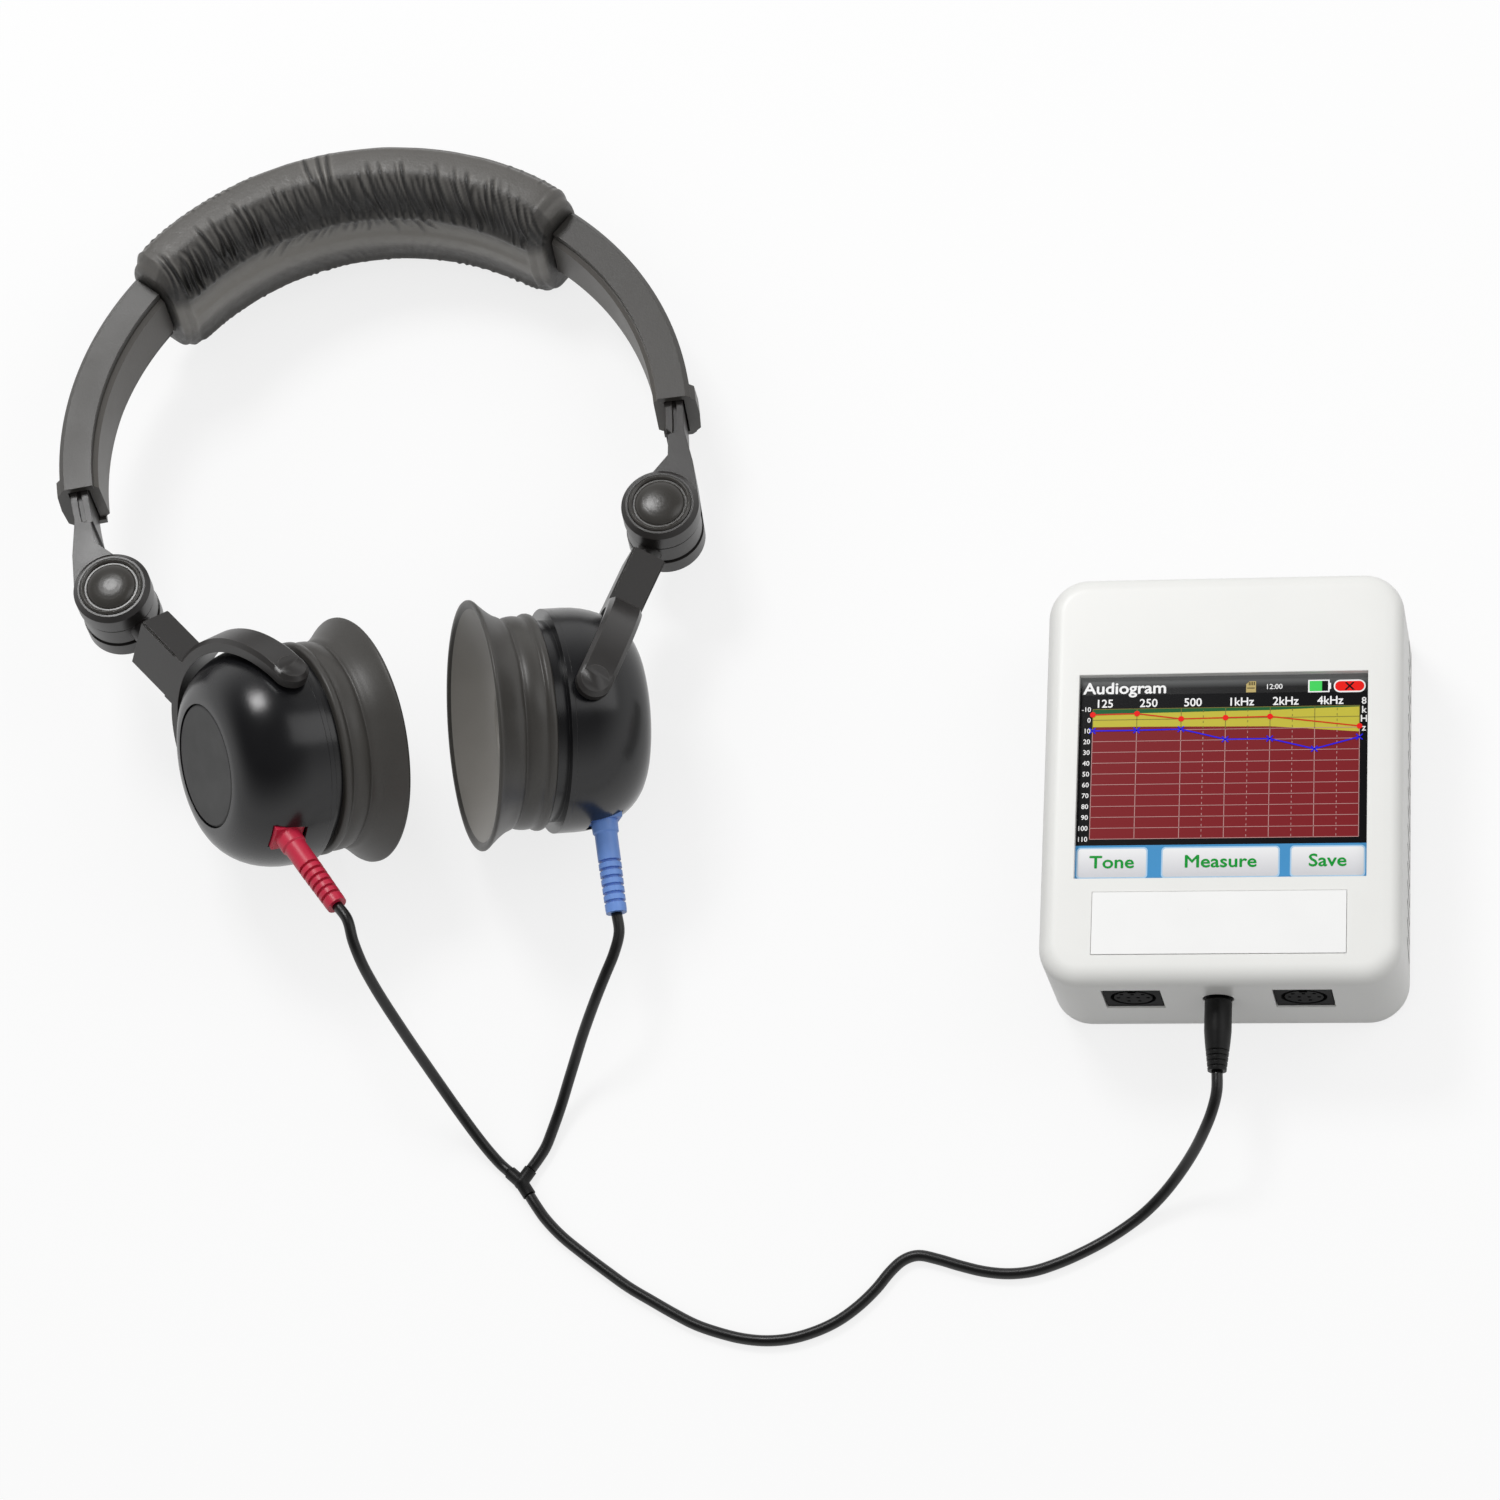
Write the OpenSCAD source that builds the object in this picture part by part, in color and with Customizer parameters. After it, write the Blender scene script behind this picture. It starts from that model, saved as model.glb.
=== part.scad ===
// Hand-held screening audiometer with a folding headset, millimetres.
// The origin is the middle of the unit's flat underside, +Z up, +Y away from the sockets.

/* [Unit case] */
// Width of the case
case_w = 88; // [80:1:100]
// Length of the case
case_l = 106; // [100:1:116]
// Height of the case
case_h = 36; // [34:0.5:42]
// Radius of the upright corners
corner_r = 10; // [8:0.5:14]
// Radius of the rounded top edge
edge_r = 4.5; // [3:0.5:6]
// Wall thickness of the case
wall = 2.2; // [1.8:0.1:2.6]
// Thickness of the base cover
base_t = 3; // [2.6:0.1:3.4]

/* [Screen and label] */
// Width of the screen window
screen_w = 71; // [64:0.5:72]
// Length of the screen window
screen_l = 53; // [46:0.5:54]
// Thickness of the touch glass
glass_t = 1.1; // [0.8:0.1:1.4]
// Thickness of the display module
display_t = 4.2; // [3.6:0.2:5]
// Width of the label plate
label_w = 61.6; // [50:0.2:66]
// Length of the label plate
label_l = 15.8; // [10:0.2:16]
// Distance of the label plate in front of the middle
label_y = 38; // [37:0.5:40]

/* [Sockets and vents] */
// Distance of the round sockets from the middle
din_x = 20.8; // [18:0.1:24]
// Width and height of a round socket's face
din_size = 13.8; // [12:0.2:14]
// Height of the sockets' axes over the underside
socket_z = 22; // [21:0.5:22.5]
// Shift of the row of sockets from the middle
port_x = -1; // [-2:0.5:2]
// Radius of the jack pin
jack_r = 1.75; // [1.25:0.25:1.75]
// Length of the jack pin
jack_len = 14; // [12:0.5:16]
// Number of vent slots in the side wall
vent_n = 17; // [11:1:17]
// Width of a vent slot
vent_w = 1.1; // [0.8:0.1:1.4]

/* [Headband] */
// Radius of the band's outer face
band_r = 82.5; // [80:0.5:85]
// Thickness of the band's arms
band_t = 8.6; // [8.4:0.1:9]
// Width of the band's arms
band_w = 20; // [19:0.5:22]
// Distance of the band's centre beyond the hinge line
band_y = 33; // [31:0.5:36]
// Half angle that the head pad covers
pad_half = 45; // [40:1:48]
// Width of the head pad
pad_w = 40; // [34:1:42]

/* [Hinges] */
// Distance of each fold hinge from the middle
pivot_x = 71; // [70.5:0.25:71.5]
// Distance from the fold hinge to the ear cup's pivot
arm_len = 60.5; // [58:0.5:64]
// Radius of the hinge barrel
barrel_r = 10; // [9.5:0.25:10.5]
// Radius of the hinge pin
pin_r = 3; // [2.5:0.25:3.25]
// Radius of the yoke's pivot pins
pivot_r = 1.5; // [1:0.25:2]

/* [Ear cups] */
// Largest radius of the ear cup's shell
cup_r = 28.4; // [27.5:0.1:28.8]
// Depth of the ear cup's shell
cup_h = 21.6; // [21.2:0.1:22.4]
// Wall thickness of the ear cup's shell
cup_wall = 2; // [1.6:0.1:2.4]
// Radius of the flat cap on the shell
cap_r = 15.6; // [13:0.2:17]
// Radius of the ear cushion's rim
cushion_r = 31.6; // [30:0.2:33]
// Height of the ear cushion
cushion_h = 16; // [14:0.5:18]

/* [Cord] */
// Diameter of the cord
cord_d = 2.8; // [2.4:0.1:3]

/* [Hidden] */
$fn = 72;

// Clearances: still parts, parts that slide, parts that turn, and seats of pins
gap = 0.3;
slide_gap = 0.4;
turn_gap = 0.05;
seat_gap = 0.02;

// Colours
BLACK = "#1c1b1a";
SOFT_BLACK = "#2b2a28";
GREY = "#4a4846";
WHITE = "#eeeeea";
STEEL = "#b5b7ba";

// The side with the red cord is -1 and the side with the blue cord is 1
RED = -1;
BLUE = 1;

// Where the headset lies, and how each side of it is folded
headset_at = [-215.1, 62.2, 31.95];
headset_turn = [-5, 6, 10.5];
function fold_of(s) = s < 0 ? 35 : 29.9;
function swivel_of(s) = s < 0 ? 26.8 : -19.9;
function tilt_of(s) = s < 0 ? 17.2 : 31.4;
function relief_lean(s) = s < 0 ? 8 : 0;

// ---- Unit: derived sizes ----
top_t = 2;
front_y = -case_l / 2;
window_z = case_h - top_t;
base_edge = 1.4;
board_t = 1.6;
board_z = socket_z - din_size / 2 - board_t;
board_w = 68;
board_l = case_l - 2 * wall - 4;
screw_x = case_w / 2 - 5.8;
screw_y = case_l / 2 - 6;
board_screw_x = 30.6;
board_screw_y = 34;
boss_r = 3;
screw_r = 1.2;
jack_bore = jack_r + turn_gap;
knob_travel = 4;
knob_x = -16;
usb_x = 14;
vent_pitch = 4.85;
vent_len = 9.8;
vent_lean = 24;
vent_z = 9;
vent_y = 2;

// ---- Headset: derived sizes ----
arm_low = -2;
arm_top = 90 - pad_half - 0.3;
shell_t = 1.8;
roof_r = band_r - shell_t;
liner_out = band_r - band_t + 1.5;
liner_in = band_r - 9.8;
strap_r = liner_out + gap;
strap_t = roof_r - slide_gap - strap_r;
strap_half_w = band_w / 2 - shell_t - slide_gap - 0.2;
strap_top = 24;
strap_low = -9;
spring_r = 77.6;
spring_t = 0.8;
spring_half_w = 7;
spring_low = 33;
rivet_angle = 38;
rivet_r = 1.5;
ring_half = 3.7;
flange_in = 4;
flange_out = 10;
cap_seat = 1;
stub_r = 2.6;
stub_end = 24;
block_start = 13;
block_t = 9;
block_w = 15;
yoke_in = cup_r + 1.2;
yoke_t = 3.4;
yoke_w = 9;
pin_a = cup_h - 4.6;
pin_boss_r = 3.1;
baffle_low = pin_a + pin_boss_r + 0.4;
baffle_top = cup_h + 4.4;
relief_a = 11.5;
relief_seat = 27.2;
relief_len = 24;
notch_w = 8;
notch_h = 8.4;

// ---- Vectors and turns ----
function unit(v) = v / norm(v);
function rx(v, a) = [v[0], v[1] * cos(a) - v[2] * sin(a), v[1] * sin(a) + v[2] * cos(a)];
function ry(v, a) = [v[0] * cos(a) + v[2] * sin(a), v[1], v[2] * cos(a) - v[0] * sin(a)];
function rz(v, a) = [v[0] * cos(a) - v[1] * sin(a), v[0] * sin(a) + v[1] * cos(a), v[2]];
function headset_dir(v) =
    rz(ry(rx(v, headset_turn[0]), headset_turn[1]), headset_turn[2]);
function hinge_dir(s, v) = let (w = rz(v, -90 - fold_of(s))) headset_dir([s * w[0], w[1], w[2]]);
function cup_dir(s, v) = hinge_dir(s, rx(rz(rx(v, 90), tilt_of(s)), swivel_of(s)));
function hinge_point(s) = headset_at + headset_dir([s * pivot_x, 0, 0]);
function cup_point(s, v) =
    hinge_point(s) + hinge_dir(s, [arm_len, 0, 0]) + cup_dir(s, v - [0, 0, pin_a]);
function relief_dir(s) = cup_dir(s, [cos(relief_lean(s)), 0, sin(relief_lean(s))]);
function relief_tip(s) = cup_point(s, [relief_seat, 0, relief_a]) + relief_len * relief_dir(s);

// ---- Cord routes: round numbers chosen by hand, between the ends that the pieces give ----
plug_len = 18;
plug_end = [port_x, front_y - gap - plug_len, socket_z];
split_at = [-177, -94, 1.9];
port_len = 4;
function port(a, reach) = split_at + reach * [cos(a), sin(a), 0];
port_main = -55;
port_red = 140;
port_blue = 57;
run_out = 3.5;
lay = cord_d / 2 + 0.05;
main_route = concat([plug_end, plug_end - [0, 5, 0]], [
    [-2.3, -81.3, 20.7], [-4.6, -85.6, 17.4], [-7.2, -88.9, 13], [-10.6, -92.6, 8.6],
    [-14.8, -97, 5.2], [-19.6, -101.3, 2.8], [-24.6, -105, 1.7], [-30, -108.5, lay],
    [-35.5, -111.5, lay], [-41, -114, lay], [-47, -116, lay], [-53, -116.7, lay],
    [-59, -116.2, lay], [-65, -114.8, lay], [-70.5, -113.2, lay], [-75.5, -112.2, lay],
    [-79.3, -113.4, lay], [-82.5, -116.4, lay], [-85.8, -120.7, lay], [-90, -125, lay],
    [-95, -128.8, lay], [-100.5, -131.5, lay], [-106.5, -133.3, lay], [-112.5, -133.9, lay],
    [-118.5, -133.4, lay], [-124.5, -132, lay], [-130.5, -130, lay], [-136, -127.3, lay],
    [-142, -124, lay], [-148, -120.6, lay], [-154, -116.5, lay], [-160, -112.2, lay],
    [-165.7, -107.8, lay], [-170, -103.6, 1.6]
], [port(port_main, port_len + run_out), port(port_main, port_len)]);
red_route = concat([relief_tip(RED), relief_tip(RED) + 5 * relief_dir(RED)], [
    [-212, -45.5, 49.5], [-210.2, -50.3, 46], [-208.2, -54.3, 41], [-206.1, -57.9, 35.8],
    [-204, -61.2, 30.6], [-202, -64.3, 25.3], [-199.6, -67.8, 19.7], [-196.8, -71.8, 14.2],
    [-193.4, -76.5, 9.4], [-189.5, -81.6, 5.6], [-186, -85.8, 3.2]
], [port(port_red, port_len + run_out), port(port_red, port_len)]);
blue_route = concat([relief_tip(BLUE), relief_tip(BLUE) + 5 * relief_dir(BLUE)], [
    [-151.8, -41, 24.1], [-154, -46, 22.6], [-156.4, -50.8, 20.2], [-158.8, -55.2, 16.9],
    [-161.2, -59.6, 13.2], [-163.4, -64.2, 9.6], [-165.5, -69.2, 6.6], [-167.5, -74.6, 4.2],
    [-169.5, -80, 2.7], [-171.2, -84.6, 2]
], [port(port_blue, port_len + run_out), port(port_blue, port_len)]);

// ---- Shared shapes ----

// Rounded rectangle built from true arcs
module round_rect(w, l, r) {
    square([w - 2 * r, l], center = true);
    square([w, l - 2 * r], center = true);
    for (x = [-1, 1], y = [-1, 1]) translate([x * (w / 2 - r), y * (l / 2 - r)]) circle(r = r);
}

// Block on z = 0 with round upright corners and a round top edge
module soft_block(w, l, h, r, e) {
    linear_extrude(h - e) round_rect(w, l, r);
    linear_extrude(h) round_rect(w - 2 * e, l - 2 * e, r - e);
    for (y = [-1, 1]) translate([0, y * (l / 2 - e), h - e]) rotate([0, 90, 0])
        cylinder(r = e, h = w - 2 * r, center = true);
    for (x = [-1, 1]) translate([x * (w / 2 - e), 0, h - e]) rotate([90, 0, 0])
        cylinder(r = e, h = l - 2 * r, center = true);
    for (x = [-1, 1], y = [-1, 1]) translate([x * (w / 2 - r), y * (l / 2 - r), h - e])
        rotate_extrude() translate([r - e, 0]) intersection() {
            circle(r = e);
            translate([0, -e]) square([e, 2 * e]);
        }
}

// Sector of a ring about the band's centre, from angle a to angle b
module band_sector(a, b) {
    translate([0, band_y, 0]) rotate([0, 0, a]) rotate_extrude(angle = b - a, $fn = 180) children();
}

// Rectangle from radius a to radius b that reaches h to each side of the middle
module band_section(a, b, h) {
    translate([a, -h]) square([b - a, 2 * h]);
}

// Things along the band's radius at an angle
module band_radial(a) {
    translate([0, band_y, 0]) rotate([0, 0, a]) rotate([0, 90, 0]) children();
}

// Tube with 8 sides along a route
module cord_tube(route) {
    n = len(route);
    sides = 8;
    function along(i) = unit(route[min(i + 1, n - 1)] - route[max(i - 1, 0)]);
    points = [for (i = [0:n - 1]) let (
        t = along(i),
        u = unit(cross(t, [0, 0, 1])),
        v = cross(u, t)
    ) for (k = [0:sides - 1])
        route[i] + cord_d / 2 * (cos(k * 360 / sides) * u + sin(k * 360 / sides) * v)];
    skin = [for (i = [0:n - 2], k = [0:sides - 1]) let (
        a = i * sides + k,
        b = i * sides + (k + 1) % sides
    ) each [[a, a + sides, b], [b, a + sides, b + sides]]];
    caps = [for (k = [1:sides - 2]) each [
        [0, k, k + 1],
        [(n - 1) * sides, (n - 1) * sides + k + 1, (n - 1) * sides + k]
    ]];
    polyhedron(points = points, faces = concat(skin, caps));
}

// ---- Frames of the headset ----
module headset() { translate(headset_at) rotate(headset_turn) children(); }

module side(s) {
    headset() if (s < 0) mirror([1, 0, 0]) children(); else children();
}

// x along the arm, z along the hinge pin
module hinge_frame(s) {
    side(s) translate([pivot_x, 0, 0]) rotate([0, 0, -90 - fold_of(s)]) children();
}

// x along the arm, z along the pivot pins, origin between them
module yoke_frame(s) {
    hinge_frame(s) translate([arm_len, 0, 0]) rotate([swivel_of(s), 0, 0]) children();
}

// z from the flat cap towards the ear, y along the pivot pins
module cup_frame(s) {
    yoke_frame(s) rotate([0, 0, tilt_of(s)]) rotate([90, 0, 0]) translate([0, 0, -pin_a])
        children();
}

// ==== Unit ====

module top_shell() {
    color(WHITE) {
        difference() {
            translate([0, 0, base_t])
                soft_block(case_w, case_l, case_h - base_t, corner_r, edge_r);
            translate([0, 0, base_t - 1])
                linear_extrude(window_z - base_t + 1)
                    round_rect(case_w - 2 * wall, case_l - 2 * wall, corner_r - wall);
            // screen window and label recess
            translate([-screen_w / 2, -screen_l / 2, window_z - 1])
                cube([screen_w, screen_l, top_t + 2]);
            translate([-label_w / 2 - 0.1, -label_y - label_l / 2 - 0.1, case_h - 0.5])
                cube([label_w + 0.2, label_l + 0.2, 1]);
            // front wall: two round sockets' faces and the jack
            for (x = [-1, 1]) translate([port_x + x * din_x, front_y, socket_z])
                cube([din_size + 2 * gap, 4 * wall, din_size + 2 * gap], center = true);
            translate([port_x, front_y - 1, socket_z]) rotate([-90, 0, 0])
                cylinder(r = 3.5 + gap, h = wall + 2);
            // far wall: switch slot and charging socket
            translate([knob_x, case_l / 2, board_z + board_t + 3])
                cube([knob_travel + 4 + 2 * slide_gap, 4 * wall, 2.5 + 2 * slide_gap], center = true);
            translate([usb_x, case_l / 2, board_z + board_t + 1.6])
                cube([9, 4 * wall, 4], center = true);
            vent_slots();
        }
        case_bosses();
    }
}

// Slanted slots low in the right wall
module vent_slots() {
    for (i = [0:vent_n - 1])
        translate([case_w / 2, vent_y + (i - (vent_n - 1) / 2) * vent_pitch, vent_z])
            rotate([-vent_lean, 0, 0]) cube([3 * wall, vent_w, vent_len], center = true);
}

// Screw bosses inside the corners, from the top plate down to the base cover
module case_bosses() {
    for (x = [-1, 1], y = [-1, 1]) translate([x * screw_x, y * screw_y, base_t])
        difference() {
            cylinder(r = boss_r, h = window_z - base_t);
            translate([0, 0, -1]) cylinder(r = screw_r + turn_gap, h = 12);
        }
}

module base_cover() {
    color(WHITE) difference() {
        union() {
            linear_extrude(base_t - base_edge) round_rect(case_w - 2 * base_edge,
                case_l - 2 * base_edge, corner_r - base_edge);
            translate([0, 0, base_edge]) linear_extrude(base_t - base_edge)
                round_rect(case_w, case_l, corner_r);
            for (x = [-1, 1], y = [-1, 1])
                translate([x * board_screw_x, y * board_screw_y, base_t - 0.5])
                    cylinder(r = boss_r, h = board_z - base_t + 0.5);
        }
        for (x = [-1, 1], y = [-1, 1]) {
            translate([x * screw_x, y * screw_y, -1]) cylinder(r = screw_r + 0.2, h = base_t + 2);
            translate([x * screw_x, y * screw_y, -1]) cylinder(r = 2.9, h = 2.6);
            translate([x * board_screw_x, y * board_screw_y, base_t + 1])
                cylinder(r = screw_r + turn_gap, h = board_z);
        }
    }
}

module touch_glass() {
    color("#20242a") translate([-screen_w / 2 - 3, -screen_l / 2 - 3, window_z - glass_t])
        cube([screen_w + 6, screen_l + 6, glass_t]);
}

module display_module() {
    color("#303338") translate([0, 0, window_z - glass_t - display_t]) {
        translate([-screen_w / 2 - 3, -screen_l / 2 - 3, 0])
            cube([screen_w + 6, screen_l + 6, display_t]);
        // two rails that stand on the board
        for (x = [-1, 1]) translate([x * 24 - 2, -screen_l / 2, 0])
            mirror([0, 0, 1]) cube([4, screen_l, window_z - glass_t - display_t
                - board_z - board_t]);
    }
}

module label_plate() {
    color("#f7f7f5") translate([-label_w / 2, -label_y - label_l / 2, case_h - 0.5])
        cube([label_w, label_l, 0.7]);
}

module main_board() {
    color("#1f5a34") difference() {
        translate([-board_w / 2, -board_l / 2, board_z]) cube([board_w, board_l, board_t]);
        for (x = [-1, 1], y = [-1, 1])
            translate([x * board_screw_x, y * board_screw_y, board_z - 1])
                cylinder(r = screw_r + 0.15, h = board_t + 2);
    }
}

// Processor, converter, amplifier and two capacitors on the board
module board_parts() {
    top = board_z + board_t;
    color("#26282b") {
        translate([-7, 8, top]) cube([14, 14, 1.6]);
        translate([-6, -12, top]) cube([10, 8, 1.8]);
        translate([10, -14, top]) cube([8, 6, 2]);
    }
    color(STEEL) for (x = [-14, 10]) translate([x, 34, top]) cylinder(r = 3, h = 6);
}

module battery_pack() {
    color("#5b6f8a") translate([-24, -28, base_t]) cube([48, 56, board_z - base_t - gap]);
}

// Contact holes of a round socket, as offsets from its axis
DIN_HOLES = [for (x = [-2.6, 0, 2.6]) [x, 2.6], for (x = [-3.6, -1.2, 1.2, 3.6]) [x, 0],
    for (x = [-1.3, 1.3]) [x, -2.6]];

module din_sockets() {
    color(BLACK) for (x = [-1, 1]) translate([port_x + x * din_x, front_y + 0.4, socket_z])
        difference() {
            translate([-din_size / 2, 0, -din_size / 2]) cube([din_size, 13, din_size]);
            // groove that takes the plug's collar, and its key
            rotate([90, 0, 0]) translate([0, 0, -6]) difference() {
                cylinder(r = 5.6, h = 7);
                translate([0, 0, -1]) cylinder(r = 4.7, h = 9);
            }
            translate([-1, -1, 3.6]) cube([2, 5, 1.6]);
            for (p = DIN_HOLES) translate([p[0], -1, p[1]]) rotate([-90, 0, 0])
                cylinder(r = 0.5, h = 6, $fn = 16);
        }
}

module jack_socket() {
    color(BLACK) translate([port_x, front_y, socket_z]) difference() {
        union() {
            rotate([-90, 0, 0]) cylinder(r = 3.5, h = wall + 1);
            translate([-4, wall + gap, board_z + board_t - socket_z])
                cube([8, 14.5, socket_z - board_z - board_t + 4]);
        }
        translate([0, -1, 0]) rotate([-90, 0, 0]) cylinder(r = jack_bore, h = jack_len + 2);
    }
}

module usb_socket() {
    color(STEEL) translate([usb_x, case_l / 2 - wall - gap, board_z + board_t]) difference() {
        translate([-3.9, -6, 0]) cube([7.8, 6, 3]);
        translate([-3.4, -5, 0.5]) cube([6.8, 6, 2]);
    }
}

module power_switch() {
    color("#2a2a2c") translate([knob_x, case_l / 2 - wall - gap, board_z + board_t])
        difference() {
            translate([-6, -5, 0]) cube([12, 5, 5.5]);
            translate([-knob_travel / 2 - 2 - slide_gap, -3, 1.75 - slide_gap])
                cube([knob_travel + 4 + 2 * slide_gap, 4, 2.5 + 2 * slide_gap]);
        }
}

// Drawn at the OFF end of its travel
module power_knob() {
    color(BLACK) translate([knob_x - knob_travel / 2 - 2, case_l / 2 - wall - gap - 2.7,
        board_z + board_t + 1.75]) cube([4, wall + gap + 4, 2.5]);
}

module case_screws() {
    color(STEEL) for (x = [-1, 1], y = [-1, 1]) translate([x * screw_x, y * screw_y, 0])
        difference() {
            union() {
                translate([0, 0, 0.4]) cylinder(r = 2.6, h = 1.2);
                translate([0, 0, 1.5]) cylinder(r = screw_r, h = 12);
            }
            for (a = [0, 90]) translate([0, 0, 0.5]) rotate([0, 0, a])
                cube([3, 0.7, 1], center = true);
        }
}

module board_screws() {
    top = board_z + board_t;
    color(STEEL) for (x = [-1, 1], y = [-1, 1])
        translate([x * board_screw_x, y * board_screw_y, 0]) {
            translate([0, 0, top]) cylinder(r = 2.4, h = 1.2);
            translate([0, 0, top - 7]) cylinder(r = screw_r, h = 7.1);
        }
}

// ==== Plug and cords ====

module plug_body() {
    n_ribs = 4;
    color(BLACK) translate([port_x, front_y - gap, socket_z]) rotate([90, 0, 0]) difference() {
        rotate_extrude() polygon([[0, 0], [3, 0], [3.35, 0.4], [3.35, 8], [3.1, 11],
            [2.3, plug_len], [0, plug_len]]);
        for (i = [0:n_ribs - 1]) translate([0, 0, plug_len - 1.2 - i * 1.3]) difference() {
            cylinder(r = 4, h = 0.5);
            translate([0, 0, -1]) cylinder(r = 2.1 + 0.12 * i, h = 3);
        }
    }
}

// Tip, ring and sleeve of the jack, one after the other
module plug_pin() {
    color(STEEL) translate([port_x, front_y - gap, socket_z]) rotate([-90, 0, 0]) rotate_extrude()
        polygon([[0, 0], [jack_r, 0], [jack_r, 6], [jack_r - 0.25, 6.1], [jack_r - 0.25, 6.6],
            [jack_r, 6.7], [jack_r, 9.2], [jack_r - 0.25, 9.3], [jack_r - 0.25, 9.8],
            [jack_r, 9.9], [jack_r, 10.8], [jack_r - 0.55, 11.6], [jack_r - 0.15, 12.4],
            [0.5, jack_len], [0, jack_len]]);
}

module cord_main() { color(BLACK) cord_tube(main_route); }
module cord_red() { color(BLACK) cord_tube(red_route); }
module cord_blue() { color(BLACK) cord_tube(blue_route); }

// Moulded joint where the two branches meet
module cord_split() {
    color(BLACK) translate(split_at) {
        sphere(r = 1.9, $fn = 32);
        for (a = [port_main, port_red, port_blue]) rotate([0, 90, a])
            cylinder(r = 1.7, h = port_len);
    }
}

// ==== Headband ====

module band_spring() {
    color(STEEL) headset() difference() {
        band_sector(spring_low, 180 - spring_low)
            band_section(spring_r, spring_r + spring_t, spring_half_w);
        for (a = [rivet_angle, 180 - rivet_angle]) band_radial(a)
            cylinder(r = rivet_r + 0.1, h = band_r);
    }
}

module band_rivets() {
    color(STEEL) headset() for (a = [rivet_angle, 180 - rivet_angle]) band_radial(a)
        translate([0, 0, spring_r - 1.8]) cylinder(r = rivet_r, h = spring_t + 3.6);
}

// Outer channel of one arm, with a stop lip at its lower end
module band_arm(s) {
    c = 1.2;
    h = band_w / 2;
    a = band_r - band_t;
    color(BLACK) side(s) difference() {
        union() {
            band_sector(arm_low, arm_top) difference() {
                polygon([[a, -h], [band_r - c, -h], [band_r, c - h], [band_r, h - c],
                    [band_r - c, h], [a, h]]);
                translate([a - 1, shell_t - h]) square([roof_r - a + 1, 2 * (h - shell_t)]);
            }
            band_sector(arm_low, arm_low + 3) polygon([[band_r - 0.5, 1 - h], [band_r + 1.2, 3 - h],
                [band_r + 1.6, 0], [band_r + 1.2, h - 3], [band_r - 0.5, h - 1]]);
            band_radial(rivet_angle) translate([0, 0, spring_r + spring_t + 0.1])
                cylinder(r = 2.6, h = roof_r - spring_r - spring_t + 0.4);
        }
        band_radial(rivet_angle) translate([0, 0, spring_r])
            cylinder(r = rivet_r + seat_gap, h = spring_t + 1.9);
    }
}

// Inner strip that closes the channel
module band_liner(s) {
    h = band_w / 2 - shell_t - gap;
    color(GREY) side(s) difference() {
        union() {
            band_sector(arm_low + 0.6, arm_top) polygon([[liner_in, 1 - h], [liner_in + 1, -h],
                [liner_out, -h], [liner_out, h], [liner_in + 1, h], [liner_in, h - 1]]);
            band_radial(rivet_angle) translate([0, 0, liner_out - 0.5])
                cylinder(r = 2.6, h = spring_r - liner_out + 0.4);
        }
        band_radial(rivet_angle) translate([0, 0, spring_r - 1.9])
            cylinder(r = rivet_r + seat_gap, h = 3);
    }
}

// Padded sleeve round the spring, crowned towards the head and drawn in at its seams and ends
pad_out = 85;
pad_seam = 74.5;
pad_crown = 10.5;
pad_steps = 26;
pad_sides = 24;
pad_end_half = 13;
function pad_swell(u) = pow(1 - pow(abs(u) * 0.99, 10), 0.5);
function pad_ring(full, k) = let (
    b = k * 360 / pad_sides,
    half = pad_end_half + (pad_w / 2 - pad_end_half) * full,
    depth = 4 + (pad_crown - 4) * full,
    rise = 8 + (pad_out - pad_seam - 8) * full,
    x = half * sign(cos(b)) * pow(abs(cos(b)), 0.55),
    pinch = 1 - 0.05 * full * pow(abs(cos(b)), 6)
) [x * pinch, sin(b) < 0 ? -depth * pow(-sin(b), 0.8) : rise * pow(sin(b), 0.6)];
function pad_point(i, k) = let (
    u = -cos(180 * i / pad_steps),
    a = 90 + pad_half * u,
    p = pad_ring(pad_swell(u), k),
    r = pad_seam + p[1]
) [r * cos(a), band_y + r * sin(a), p[0]];

module head_pad() {
    n = pad_steps;
    m = pad_sides;
    points = [for (i = [0:n], k = [0:m - 1]) pad_point(i, k)];
    skin = [for (i = [0:n - 1], k = [0:m - 1]) let (a = i * m + k, b = i * m + (k + 1) % m)
        each [[a, a + m, b], [b, a + m, b + m]]];
    caps = [for (k = [1:m - 2]) each [[0, k, k + 1], [n * m, n * m + k + 1, n * m + k]]];
    color(SOFT_BLACK) headset() difference() {
        polyhedron(points = points, faces = concat(skin, caps));
        band_sector(88 - pad_half, 92 + pad_half)
            band_section(spring_r - gap, spring_r + spring_t + gap, spring_half_w + gap);
    }
}

// ==== Hinges ====

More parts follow.
